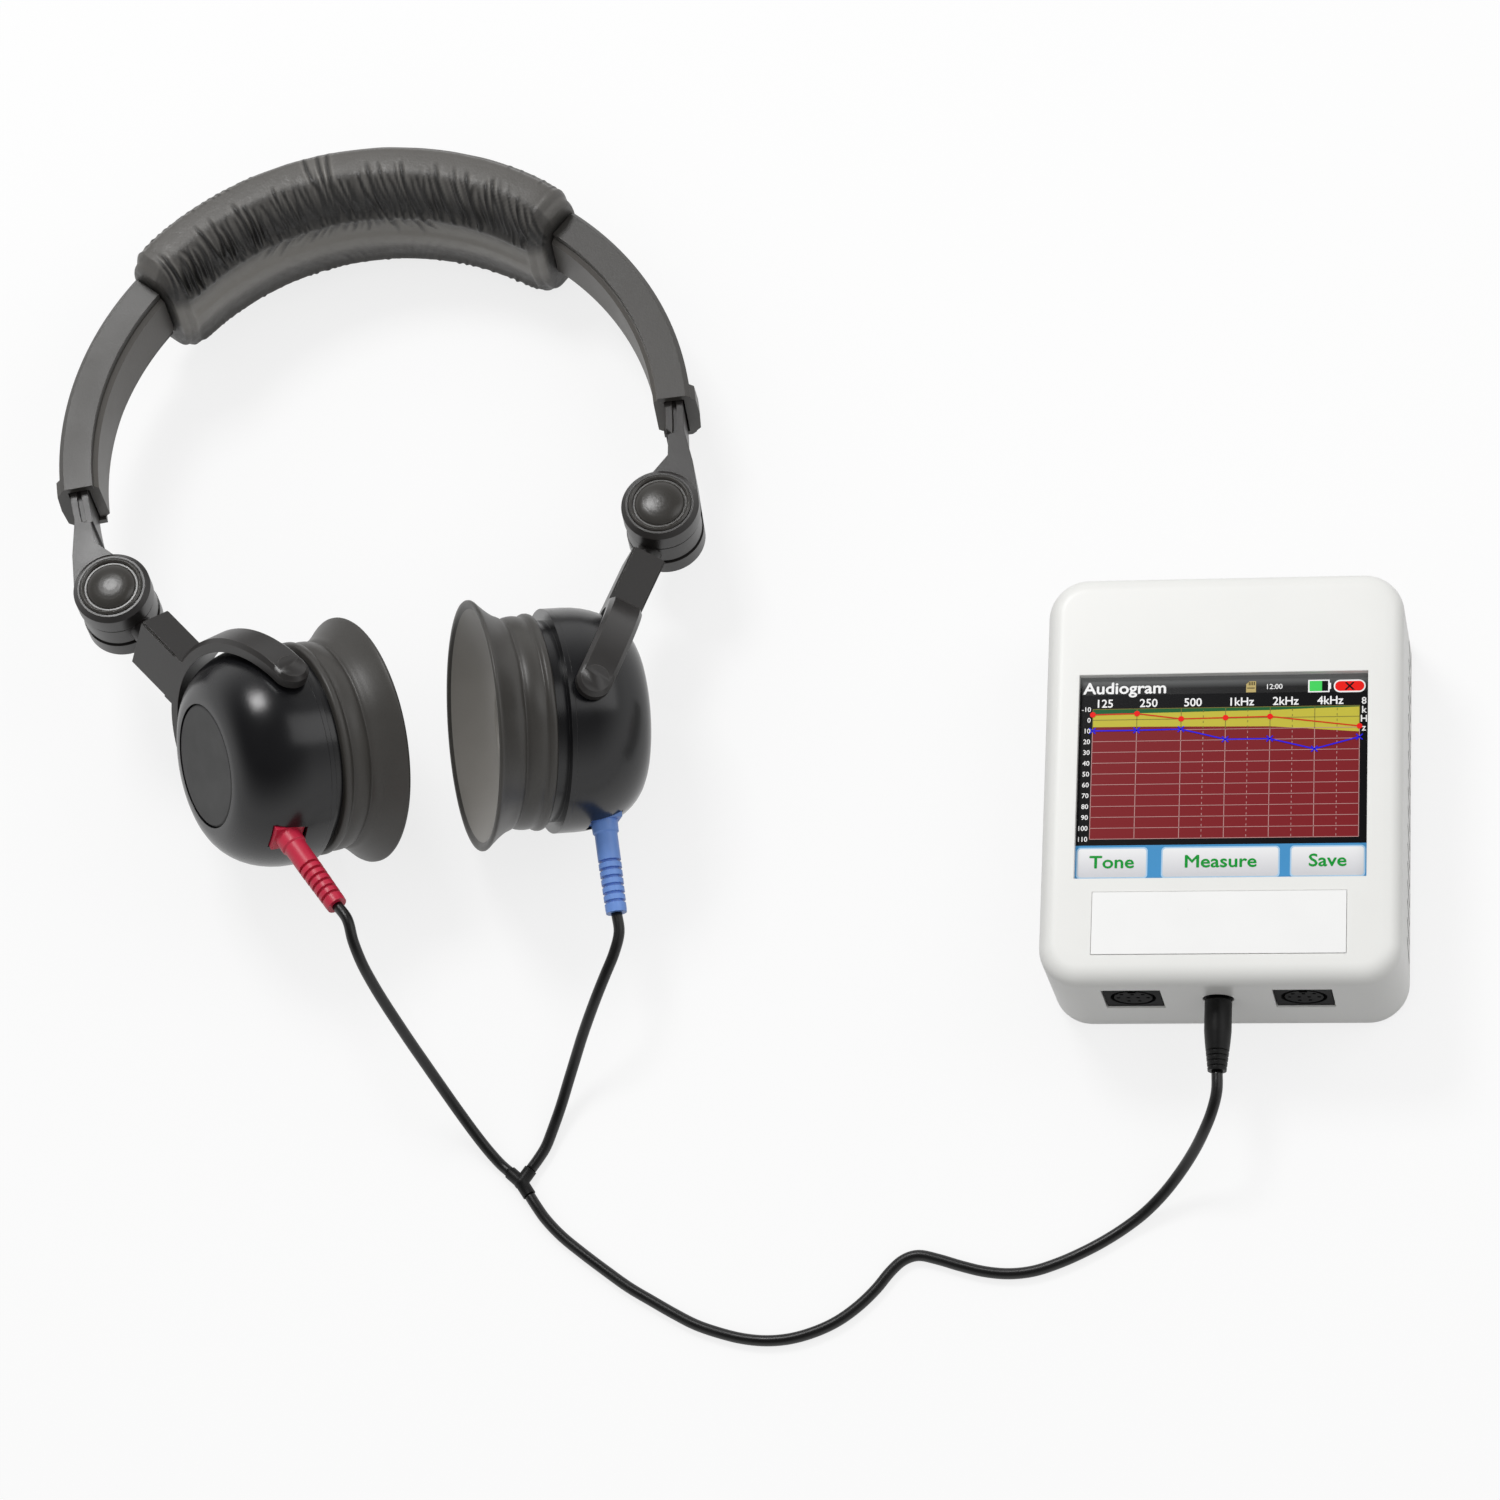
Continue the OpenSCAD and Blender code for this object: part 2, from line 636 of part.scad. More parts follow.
// Strap that slides in the arm, with the two flanges of the hinge barrel
module slider(s) {
    a = strap_r;
    b = strap_r + strap_t;
    h = strap_half_w;
    m = (a + b) / 2;
    color(BLACK) side(s) difference() {
        union() {
            band_sector(strap_low, strap_top) polygon([[a, -h], [m - 0.6, -h], [m - 0.6, 1 - h],
                [m + 0.6, 1 - h], [m + 0.6, -h], [b, -h], [b, h], [m + 0.6, h],
                [m + 0.6, h - 1], [m - 0.6, h - 1], [m - 0.6, h], [a, h]]);
            translate([pivot_x, 0, -h]) linear_extrude(2 * h) polygon([[barrel_r - 1.4, 22],
                [barrel_r - 5.6, 21], [3.6, 15], [-2, barrel_r - 0.6], [0, 0], [barrel_r, 0],
                [barrel_r - 0.2, 12]]);
            for (z = [0, 1]) translate([pivot_x, 0, 0]) mirror([0, 0, z]) rotate_extrude()
                polygon([[0, flange_in], [barrel_r, flange_in], [barrel_r, flange_out - 1.2],
                    [barrel_r - 1.2, flange_out], [0, flange_out]]);
        }
        translate([pivot_x, 0, 0]) {
            cylinder(r = barrel_r + 0.5, h = 2 * (ring_half + gap), center = true);
            cylinder(r = pin_r + seat_gap, h = 40, center = true);
            for (z = [-1, 1]) translate([0, 0, z * flange_out])
                cylinder(r = barrel_r - 1.8, h = 2 * cap_seat, center = true);
        }
    }
}

// Middle ring of the barrel with the stub on which the yoke swivels
module hinge_ring(s) {
    color(GREY) hinge_frame(s) difference() {
        union() {
            rotate_extrude() polygon([[pin_r, -ring_half], [barrel_r - 1, -ring_half],
                [barrel_r - 0.3, 0.7 - ring_half], [barrel_r - 0.3, ring_half - 0.7],
                [barrel_r - 1, ring_half], [pin_r, ring_half]]);
            rotate([0, 90, 0]) translate([0, 0, barrel_r - 2])
                cylinder(r = 3.4, h = block_start - gap - barrel_r + 2);
            rotate([0, 90, 0]) translate([0, 0, barrel_r])
                cylinder(r = stub_r, h = stub_end - barrel_r);
        }
        cylinder(r = pin_r + turn_gap, h = 40, center = true);
    }
}

module hinge_pin(s) {
    color(STEEL) side(s) translate([pivot_x, 0, 0])
        cylinder(r = pin_r, h = 2 * (flange_out - cap_seat - 0.1), center = true);
}

// Domed caps on both flanges
module hinge_caps(s) {
    r = barrel_r - 1.8 - 0.15;
    color(SOFT_BLACK) side(s) for (z = [0, 1]) translate([pivot_x, 0, 0]) mirror([0, 0, z])
        translate([0, 0, flange_out - cap_seat]) rotate_extrude() polygon(concat(
            [[0, 0], [r, 0], [r, 1.2], [r - 0.5, 1.5], [r - 1, 1.2], [r - 1.1, 0.8]],
            [for (b = [0:15:90]) [6.4 * cos(b), 0.8 + 1.7 * sin(b)]]));
}

// Fork round the ear cup, with the block that turns on the hinge's stub
module yoke(s) {
    out = yoke_in + yoke_t;
    w = yoke_w / 2;
    color(BLACK) yoke_frame(s) difference() {
        union() {
            difference() {
                translate([block_start - arm_len, -block_t / 2, -block_w / 2])
                    cube([arm_len - block_start - yoke_in - 1.2, block_t, block_w]);
                for (y = [-1, 1], z = [-1, 1])
                    translate([block_start - arm_len - 1, y * block_t / 2 - 0.5,
                        z * block_w / 2 - 0.5]) cube([arm_len - block_start - out, 1, 1]);
            }
            rotate([90, 0, 0]) rotate([0, 0, 90]) rotate_extrude(angle = 180, $fn = 120)
                polygon([[yoke_in, -w], [out - 1, -w], [out, 1 - w], [out, w - 1], [out - 1, w],
                    [yoke_in, w]]);
            for (z = [0, 1]) mirror([0, 0, z]) translate([0, 0, yoke_in]) rotate_extrude()
                polygon([[0, 0], [w, 0], [w, yoke_t - 1], [w - 1, yoke_t], [0, yoke_t]]);
        }
        translate([block_start - arm_len - 1, 0, 0]) rotate([0, 90, 0])
            cylinder(r = stub_r + turn_gap, h = stub_end - block_start + 1.3);
        for (z = [0, 1]) mirror([0, 0, z]) translate([0, 0, yoke_in - 1])
            cylinder(r = pivot_r + seat_gap, h = 3.1);
    }
}

module pivot_pins(s) {
    color(STEEL) yoke_frame(s) for (z = [0, 1]) mirror([0, 0, z])
        translate([0, 0, yoke_in - 5]) cylinder(r = pivot_r, h = 7);
}

// ==== Ear cups ====

// Outline of the dome, a quarter ellipse from the cap to the full radius
dome_h = 17.6;
function dome(inset) = [for (i = [0:12]) let (b = i * 90 / 12)
    [cap_r + 0.3 + (cup_r - cap_r - 0.3 - inset) * sin(b),
     dome_h - (dome_h - inset * 1.7) * cos(b)]];
function reversed(v) = [for (i = [len(v) - 1:-1:0]) v[i]];

module cup_shell(s) {
    inner = dome(cup_wall);
    color(BLACK) cup_frame(s) difference() {
        union() {
            rotate_extrude($fn = 96) polygon(concat([[0, 1.5], [cap_r + 0.3, 1.5]], dome(0),
                [[cup_r, cup_h], [cup_r - cup_wall, cup_h]], reversed(inner),
                [[0, inner[0][1]]]));
            for (z = [-1, 1]) translate([0, z * (cup_r - 1), pin_a]) rotate([z * 90, 0, 0])
                cylinder(r = pin_boss_r, h = 5);
        }
        for (z = [-1, 1]) translate([0, z * (cup_r + 1), pin_a]) rotate([z * 90, 0, 0])
            cylinder(r = pivot_r + turn_gap, h = 9);
        translate([relief_seat - 6, -notch_w / 2, relief_a - notch_h / 2])
            cube([9, notch_w, notch_h]);
    }
}

module cup_cap(s) {
    color(SOFT_BLACK) cup_frame(s) rotate_extrude() polygon([[0, 0.1], [cap_r - 0.5, 0.1],
        [cap_r, 0.5], [cap_r, 1.5], [0, 1.5]]);
}

// Front ring that closes the shell, holds the driver and carries the cushion
module baffle(s) {
    r = cup_r - cup_wall - gap;
    color(BLACK) cup_frame(s) rotate_extrude($fn = 96) polygon([
        [19.8, cup_h + 0.2], [r - 2, cup_h + 0.2], [r - 2, baffle_low], [r, baffle_low],
        [r, cup_h], [cup_r, cup_h], [cup_r, cup_h + 1.3], [25.5, cup_h + 1.3],
        [25.5, baffle_top], [22.9, baffle_top], [22.9, baffle_top - 1.3],
        [19.8, baffle_top - 1.3]]);
}

module driver(s) {
    color(GREY) cup_frame(s) rotate_extrude() polygon([[0, 9.5], [12.5, 9.5], [12.5, 13],
        [16, 14.5], [16, cup_h - 1.2], [22.8, cup_h - 1.2], [22.8, cup_h + 0.2],
        [17.5, cup_h + 0.2], [14, cup_h + 1], [8, cup_h + 0.4], [0, cup_h + 2.2]]);
}

// Perforated guard in front of the driver
module grille(s) {
    color(STEEL) cup_frame(s) difference() {
        translate([0, 0, baffle_top - 1.2]) cylinder(r = 22.7, h = 1);
        for (ring = [0:3]) let (n = ring == 0 ? 1 : 6 * ring) for (i = [0:n - 1])
            rotate([0, 0, i * 360 / n]) translate([3.3 * ring, 0, 0])
                cylinder(r = 1, h = 40, $fn = 16);
    }
}

// Flared rubber cushion with a dished face
module ear_cushion(s) {
    z0 = baffle_top;
    rim_z = z0 + cushion_h;
    color(SOFT_BLACK) cup_frame(s) rotate_extrude($fn = 96) polygon(concat(
        [[22.2, z0], [27.2, z0], [27.4, z0 + 0.6], [27.2, z0 + 2], [26.7, z0 + 2.4],
         [26.8, z0 + 5], [26.6, z0 + 8], [27, z0 + 9]],
        [for (i = [1:5]) [27 + (cushion_r - 27) * pow(i / 5, 1.3), z0 + 9 + (cushion_h - 9.7) * i / 5]],
        [[cushion_r, rim_z - 0.2], [cushion_r - 0.7, rim_z], [cushion_r - 1.5, rim_z - 0.2]],
        [for (i = [0:6]) let (t = i / 6) [cushion_r - 2.2 - (cushion_r - 14.2) * t,
            rim_z - 0.8 - (cushion_h - 8.3) * sin(90 * t)]],
        [[12, z0 + 6], [13, z0 + 4.5], [20, z0 + 2.5]]));
}

// Cable grommet: a square root in the shell's notch, a collar and ribs
module relief(s) {
    ribs = 6;
    pitch = 2.1;
    first = relief_len - 1 - ribs * pitch;
    colour = s < 0 ? "#c4213f" : "#5f86cf";
    color(colour) {
        cup_frame(s) translate([relief_seat - 5, -notch_w / 2 + gap, relief_a - notch_h / 2 + gap])
            cube([5, notch_w - 2 * gap, notch_h - 2 * gap]);
        cup_frame(s) translate([relief_seat, 0, relief_a]) rotate([0, 90 - relief_lean(s), 0])
            rotate_extrude($fn = 48) polygon(concat(
                [[0, -1], [3.4, -1], [3.3, 3], [2.9, 3.4], [2.9, first]],
                [for (i = [0:ribs - 1]) each [
                    [2.1, first + i * pitch + 0.05], [2.1, first + i * pitch + 0.7],
                    [2.9 - 0.04 * i, first + i * pitch + 0.75],
                    [2.9 - 0.04 * i, first + (i + 1) * pitch - 0.02]]],
                [[2.6, relief_len], [0, relief_len]]));
    }
}

top_shell();
base_cover();
touch_glass();
display_module();
label_plate();
main_board();
board_parts();
battery_pack();
din_sockets();
jack_socket();
usb_socket();
power_switch();
power_knob();
case_screws();
board_screws();
plug_body();
plug_pin();
cord_main();
cord_split();
cord_red();
cord_blue();
band_spring();
band_rivets();
head_pad();
band_arm(RED);  // red_band_arm
band_liner(RED);  // red_band_liner
slider(RED);  // red_slider
hinge_ring(RED);  // red_hinge_ring
hinge_pin(RED);  // red_hinge_pin
hinge_caps(RED);  // red_hinge_caps
yoke(RED);  // red_yoke
pivot_pins(RED);  // red_pivot_pins
cup_shell(RED);  // red_cup_shell
cup_cap(RED);  // red_cup_cap
baffle(RED);  // red_baffle
driver(RED);  // red_driver
grille(RED);  // red_grille
ear_cushion(RED);  // red_ear_cushion
relief(RED);  // red_relief
band_arm(BLUE);  // blue_band_arm
band_liner(BLUE);  // blue_band_liner
slider(BLUE);  // blue_slider
hinge_ring(BLUE);  // blue_hinge_ring
hinge_pin(BLUE);  // blue_hinge_pin
hinge_caps(BLUE);  // blue_hinge_caps
yoke(BLUE);  // blue_yoke
pivot_pins(BLUE);  // blue_pivot_pins
cup_shell(BLUE);  // blue_cup_shell
cup_cap(BLUE);  // blue_cup_cap
baffle(BLUE);  // blue_baffle
driver(BLUE);  // blue_driver
grille(BLUE);  // blue_grille
ear_cushion(BLUE);  // blue_ear_cushion
relief(BLUE);  // blue_relief
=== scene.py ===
import math

import bpy
import numpy as np
from mathutils import Matrix, Vector, noise


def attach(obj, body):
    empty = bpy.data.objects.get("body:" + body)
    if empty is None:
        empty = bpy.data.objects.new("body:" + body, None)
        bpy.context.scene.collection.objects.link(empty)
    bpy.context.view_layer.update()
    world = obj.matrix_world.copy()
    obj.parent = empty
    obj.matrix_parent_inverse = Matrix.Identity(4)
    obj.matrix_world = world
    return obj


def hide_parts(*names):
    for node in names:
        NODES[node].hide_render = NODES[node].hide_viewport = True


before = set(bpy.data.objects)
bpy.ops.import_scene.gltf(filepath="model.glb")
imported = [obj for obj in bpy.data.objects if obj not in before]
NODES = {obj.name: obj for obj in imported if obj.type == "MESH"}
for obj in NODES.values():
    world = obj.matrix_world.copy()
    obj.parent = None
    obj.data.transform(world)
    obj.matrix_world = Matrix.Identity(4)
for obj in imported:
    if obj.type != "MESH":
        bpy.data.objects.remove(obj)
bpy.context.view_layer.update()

MM = 0.001
SCENE = bpy.context.scene


# ---------------------------------------------------------------- camera

CAMERA_AT = (0.114487, -0.411285, 1.186091)
CAMERA_RIGHT = Vector((0.98239623, 0.04997637, -0.18))
CAMERA_UP = Vector((0.01446107, 0.94031424, 0.34))
LENS_MM = 120
SENSOR_MM = 36


def make_camera():
    """A long lens from in front and above, leaning as the photograph does."""
    data = bpy.data.cameras.new("camera")
    data.sensor_fit = "HORIZONTAL"
    data.sensor_width = SENSOR_MM
    data.lens = LENS_MM
    data.clip_start = 0.05
    data.clip_end = 20
    cam = bpy.data.objects.new("camera", data)
    SCENE.collection.objects.link(cam)
    turn = Matrix((CAMERA_RIGHT, CAMERA_UP, CAMERA_RIGHT.cross(CAMERA_UP))).transposed()
    cam.matrix_world = Matrix.Translation(CAMERA_AT) @ turn.to_4x4()
    SCENE.camera = cam


make_camera()


# ---------------------------------------------------------------- frames of the headset, in mm

# The headset's own frame has its band in the plane of x and y, with the pad at +y.
HEADSET_AT = (-215.1, 62.2, 31.95)
HEADSET_TURN = (-5, 6, 10.5)
PIVOT_X = 71
ARM_LEN = 60.5
PIN_A = 17      # the pivot pins' height above the cup's outer end
BAND_Y = 33     # centre of the band's circle
# the arms' angles in the photograph
FOLD = {"red": 35, "blue": 29.9}
SWIVEL = {"red": 26.8, "blue": -19.9}
TILT = {"red": 17.2, "blue": 31.4}
SIDES = ("red", "blue")


def turned(axis, degrees):
    return Matrix.Rotation(math.radians(degrees), 4, axis)


def shifted(x, y, z):
    return Matrix.Translation((x, y, z))


HEADSET = (shifted(*HEADSET_AT) @ turned("Z", HEADSET_TURN[2]) @ turned("Y", HEADSET_TURN[1])
           @ turned("X", HEADSET_TURN[0]))


def side_frame(s):
    return HEADSET @ Matrix.Diagonal((-1 if s == "red" else 1, 1, 1, 1))


def hinge_frame(s):
    return side_frame(s) @ shifted(PIVOT_X, 0, 0) @ turned("Z", -90 - FOLD[s])


def yoke_frame(s):
    return hinge_frame(s) @ shifted(ARM_LEN, 0, 0) @ turned("X", SWIVEL[s])


def cup_frame(s):
    return yoke_frame(s) @ turned("Z", TILT[s]) @ turned("X", 90) @ shifted(0, 0, -PIN_A)


# ---------------------------------------------------------------- cords

CORD_D = 2.8
CORD_R = CORD_D / 2
LAY = CORD_R + 0.05     # height of a cord's middle where it lies on the table
PLUG_END = Vector((-1, -71.3, 22))
SPLIT_AT = Vector((-177, -94, 1.9))
PORT_LEN = 4
PORT_MAIN, PORT_RED, PORT_BLUE = -55, 140, 57
RUN_OUT = 3.5
RELIEF_SEAT = 27.2
RELIEF_LEN = 24
RELIEF_A = 11.5
RELIEF_LEAN = {"red": 8, "blue": 0}


def port(angle, reach):
    a = math.radians(angle)
    return SPLIT_AT + reach * Vector((math.cos(a), math.sin(a), 0))


def relief_run(s):
    """Tip of the cable grommet and a point 5 mm beyond it."""
    m = cup_frame(s)
    a = math.radians(RELIEF_LEAN[s])
    along = (m.to_3x3() @ Vector((math.cos(a), 0, math.sin(a)))).normalized()
    tip = m @ Vector((RELIEF_SEAT, 0, RELIEF_A)) + RELIEF_LEN * along
    return [tip, tip + 5 * along]


MAIN_ROUTE = [PLUG_END, PLUG_END - Vector((0, 5, 0))] + [Vector(p) for p in (
    (-2.3, -81.3, 20.7), (-4.6, -85.6, 17.4), (-7.2, -88.9, 13), (-10.6, -92.6, 8.6),
    (-14.8, -97, 5.2), (-19.6, -101.3, 2.8), (-24.6, -105, 1.7), (-30, -108.5, LAY),
    (-35.5, -111.5, LAY), (-41, -114, LAY), (-47, -116, LAY), (-53, -116.7, LAY),
    (-59, -116.2, LAY), (-65, -114.8, LAY), (-70.5, -113.2, LAY), (-75.5, -112.2, LAY),
    (-79.3, -113.4, LAY), (-82.5, -116.4, LAY), (-85.8, -120.7, LAY), (-90, -125, LAY),
    (-95, -128.8, LAY), (-100.5, -131.5, LAY), (-106.5, -133.3, LAY), (-112.5, -133.9, LAY),
    (-118.5, -133.4, LAY), (-124.5, -132, LAY), (-130.5, -130, LAY), (-136, -127.3, LAY),
    (-142, -124, LAY), (-148, -120.6, LAY), (-154, -116.5, LAY), (-160, -112.2, LAY),
    (-165.7, -107.8, LAY), (-170, -103.6, 1.6),
)] + [port(PORT_MAIN, PORT_LEN + RUN_OUT), port(PORT_MAIN, PORT_LEN)]
RED_ROUTE = relief_run("red") + [Vector(p) for p in (
    (-212, -45.5, 49.5), (-210.2, -50.3, 46), (-208.2, -54.3, 41), (-206.1, -57.9, 35.8),
    (-204, -61.2, 30.6), (-202, -64.3, 25.3), (-199.6, -67.8, 19.7), (-196.8, -71.8, 14.2),
    (-193.4, -76.5, 9.4), (-189.5, -81.6, 5.6), (-186, -85.8, 3.2),
)] + [port(PORT_RED, PORT_LEN + RUN_OUT), port(PORT_RED, PORT_LEN)]
BLUE_ROUTE = relief_run("blue") + [Vector(p) for p in (
    (-151.8, -41, 24.1), (-154, -46, 22.6), (-156.4, -50.8, 20.2), (-158.8, -55.2, 16.9),
    (-161.2, -59.6, 13.2), (-163.4, -64.2, 9.6), (-165.5, -69.2, 6.6), (-167.5, -74.6, 4.2),
    (-169.5, -80, 2.7), (-171.2, -84.6, 2),
)] + [port(PORT_BLUE, PORT_LEN + RUN_OUT), port(PORT_BLUE, PORT_LEN)]


def smooth_route(points, steps=5):
    """Catmull-Rom curve through the route's points."""
    pts = [2 * points[0] - points[1]] + list(points) + [2 * points[-1] - points[-2]]
    out = []
    for i in range(1, len(pts) - 2):
        a, b, c, d = pts[i - 1:i + 3]
        for k in range(steps):
            t = k / steps
            out.append(0.5 * (2 * b + (c - a) * t + (2 * a - 5 * b + 4 * c - d) * t * t
                              + (3 * b - a - 3 * c + d) * t ** 3))
    out.append(pts[-2])
    return out


def tube(line, radius, sides=18):
    """Points and faces of a round tube along a line, with rounded ends, in mm."""
    points, faces = [], []
    across = None
    count = len(line)
    for i, p in enumerate(line):
        ahead = (line[min(i + 1, count - 1)] - line[max(i - 1, 0)]).normalized()
        across = ahead.orthogonal() if across is None else across - ahead * across.dot(ahead)
        across.normalize()
        other = ahead.cross(across)
        for k in range(sides):
            a = 2 * math.pi * k / sides
            points.append(p + radius * (math.cos(a) * across + math.sin(a) * other))
    for i in range(count - 1):
        for k in range(sides):
            a, b = i * sides + k, i * sides + (k + 1) % sides
            faces.append((a, b, b + sides, a + sides))
    faces.append(tuple(range(sides))[::-1])
    faces.append(tuple(range((count - 1) * sides, count * sides)))
    return points, faces


def make_cord(name, route, node):
    """Free cord along a route from its exit to its far end, which carries the pieces."""
    line = smooth_route(route)
    points, faces = tube(line, CORD_R)
    obj = mesh_piece(name, points, faces, [CORD], None, "headband")
    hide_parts(node)


# ---------------------------------------------------------------- materials

def srgb(r, g, b):
    """Colour from 0 to 255 as a linear colour."""
    def line(v):
        v /= 255
        return v / 12.92 if v <= 0.04045 else ((v + 0.055) / 1.055) ** 2.4
    return (line(r), line(g), line(b), 1)


def scaled(colour, k):
    return tuple(min(1, c * k) for c in colour[:3]) + (1,)


class Nodes:
    """Short hand for building a node tree."""

    def __init__(self, name):
        self.material = bpy.data.materials.new(name)
        self.material.use_nodes = True
        self.tree = self.material.node_tree
        self.shader = self.tree.nodes["Principled BSDF"]
        self.place = self.add("ShaderNodeTexCoord").outputs["Object"]

    def add(self, kind, **settings):
        node = self.tree.nodes.new(kind)
        for key, value in settings.items():
            setattr(node, key, value)
        return node

    def link(self, a, b):
        self.tree.links.new(a, b)

    def noise(self, scale, detail=3, rough=0.55, stretch=None, distortion=0):
        node = self.add("ShaderNodeTexNoise")
        node.inputs["Scale"].default_value = scale
        node.inputs["Detail"].default_value = detail
        node.inputs["Roughness"].default_value = rough
        node.inputs["Distortion"].default_value = distortion
        place = self.place
        if stretch:
            mapping = self.add("ShaderNodeMapping")
            mapping.inputs["Scale"].default_value = stretch
            self.link(place, mapping.inputs["Vector"])
            place = mapping.outputs["Vector"]
        self.link(place, node.inputs["Vector"])
        return node.outputs["Fac"]

    def cells(self, scale, feature="F1"):
        node = self.add("ShaderNodeTexVoronoi", feature=feature)
        node.inputs["Scale"].default_value = scale
        self.link(self.place, node.inputs["Vector"])
        return node.outputs["Distance"]

    def ranged(self, value, low, high, to_low, to_high):
        node = self.add("ShaderNodeMapRange")
        for key, number in (("From Min", low), ("From Max", high), ("To Min", to_low),
                            ("To Max", to_high)):
            node.inputs[key].default_value = number
        self.link(value, node.inputs["Value"])
        return node.outputs["Result"]

    def mix(self, factor, a, b):
        node = self.add("ShaderNodeMix", data_type="RGBA")
        for value, socket in ((factor, node.inputs[0]), (a, node.inputs[6]), (b, node.inputs[7])):
            if isinstance(value, bpy.types.NodeSocket):
                self.link(value, socket)
            else:
                socket.default_value = value
        return node.outputs[2]

    def bump(self, height, strength, distance, normal=None):
        node = self.add("ShaderNodeBump")
        node.inputs["Strength"].default_value = strength
        node.inputs["Distance"].default_value = distance
        self.link(height, node.inputs["Height"])
        if normal is not None:
            self.link(normal, node.inputs["Normal"])
        return node.outputs["Normal"]

    def bevel(self, radius):
        node = self.add("ShaderNodeBevel", samples=4)
        node.inputs["Radius"].default_value = radius
        return node.outputs["Normal"]

    def worn(self, normal, share):
        """Near 1 on sharp edges, where the rounded normal leaves the true one, broken by noise."""
        dot = self.add("ShaderNodeVectorMath", operation="DOT_PRODUCT")
        self.link(normal, dot.inputs[0])
        self.link(self.add("ShaderNodeNewGeometry").outputs["Normal"], dot.inputs[1])
        edge = self.ranged(dot.outputs["Value"], 0.995, 0.86, 0, share)
        times = self.add("ShaderNodeMath", operation="MULTIPLY")
        self.link(edge, times.inputs[0])
        self.link(self.ranged(self.noise(340, 4, 0.7), 0.36, 0.6, 0.15, 1), times.inputs[1])
        return times.outputs[0]


def moulded(name, colour, rough, grain=(1400, 0.25, 0.00006), patch=(45, 0.10), speck=0.05,
            bevel=0.0002, wear=0.0, wear_to=None, metallic=0.0, specular=0.5, coat=0.0,
            rough_by=0.06):
    """Moulded finish: broad colour drift, fine speck, grain in the bump and paler worn edges.
    grain is its scale, strength and height in metres; patch is the drift's scale and share."""
    n = Nodes(name)
    broad = n.noise(patch[0], 3, 0.6)
    fine = n.noise(grain[0], 4, 0.6)
    base = n.mix(n.ranged(broad, 0.3, 0.7, 0, 1), scaled(colour, 1 - patch[1]),
                 scaled(colour, 1 + patch[1]))
    base = n.mix(n.ranged(fine, 0.35, 0.75, 0, speck), base, scaled(colour, 2.2))
    rough_value = n.ranged(broad, 0.3, 0.7, rough - rough_by, rough + rough_by)
    normal = n.bevel(bevel) if bevel else None
    if wear and bevel:
        base = n.mix(n.worn(normal, wear), base, wear_to or scaled(colour, 3))
    n.link(base, n.shader.inputs["Base Color"])
    n.link(rough_value, n.shader.inputs["Roughness"])
    n.link(n.bump(fine, grain[1], grain[2], normal), n.shader.inputs["Normal"])
    n.shader.inputs["Metallic"].default_value = metallic
    n.shader.inputs["Specular IOR Level"].default_value = specular
    n.shader.inputs["Coat Weight"].default_value = coat
    n.shader.inputs["Coat Roughness"].default_value = 0.1
    return n.material


def leather(name, colour, pale, rough):
    """Soft leatherette: pebbled grain, small creases and a dull shine. It is paler by painted
    sheen, and nearly black in its folds by painted shade, by the sleeve's own marks."""
    n = Nodes(name)
    broad = n.noise(60, 4, 0.6)
    pebble = n.cells(1500)
    crease = n.noise(500, 6, 0.65, distortion=0.6)
    base = n.mix(n.ranged(broad, 0.3, 0.7, 0, 1), scaled(colour, 0.8), scaled(colour, 1.25))
    base = n.mix(n.ranged(pebble, 0.2, 0.8, 0.25, 0), base, scaled(colour, 0.35))
    # painted sheen: the sleeve's 'pale' mark lifts the colour towards the pale one
    painted_sheen_share = n.add("ShaderNodeAttribute", attribute_name="pale").outputs["Fac"]
    base = n.mix(n.ranged(painted_sheen_share, 0, 1, 0, 0.9), base, pale)
    # painted shade: the sleeve's 'dark' mark takes the colour to nearly black in its folds
    painted_shade_share = n.add("ShaderNodeAttribute", attribute_name="dark").outputs["Fac"]
    base = n.mix(n.ranged(painted_shade_share, 0, 1, 0, 0.9), base, scaled(colour, 0.12))
    n.link(base, n.shader.inputs["Base Color"])
    n.link(n.ranged(crease, 0.3, 0.7, rough - 0.08, rough + 0.1), n.shader.inputs["Roughness"])
    low = n.bump(crease, 0.35, 0.00025)
    n.link(n.bump(pebble, 0.35, 0.0001, low), n.shader.inputs["Normal"])
    n.shader.inputs["Specular IOR Level"].default_value = 0.5
    return n.material


def lit(name, colour):
    """Colour of the display behind glass, with its fine rows of picture dots."""
    n = Nodes(name)
    wave = n.add("ShaderNodeTexWave", bands_direction="Y")
    wave.inputs["Scale"].default_value = 1100
    n.link(n.place, wave.inputs["Vector"])
    base = n.mix(n.ranged(wave.outputs["Fac"], 0, 1, 0, 0.12), colour, scaled(colour, 0.5))
    n.link(base, n.shader.inputs["Base Color"])
    n.link(base, n.shader.inputs["Emission Color"])
    n.shader.inputs["Emission Strength"].default_value = 0.06
    n.shader.inputs["Roughness"].default_value = 0.22
    n.shader.inputs["Specular IOR Level"].default_value = 0.3
    return n.material


def faded(name, top, low, y_top, y_low):
    """Picture colour that fades along the length of the unit, from y_top to y_low in mm."""
    n = Nodes(name)
    split = n.add("ShaderNodeSeparateXYZ")
    n.link(n.place, split.inputs[0])
    base = n.mix(n.ranged(split.outputs["Y"], y_low * MM, y_top * MM, 0, 1), low, top)
    n.link(base, n.shader.inputs["Base Color"])
    n.link(base, n.shader.inputs["Emission Color"])
    n.shader.inputs["Emission Strength"].default_value = 0.05
    n.shader.inputs["Roughness"].default_value = 0.25
    return n.material


SMOOTH_UP_TO = 32       # degrees between two faces that shade as one
WELD = 2e-6


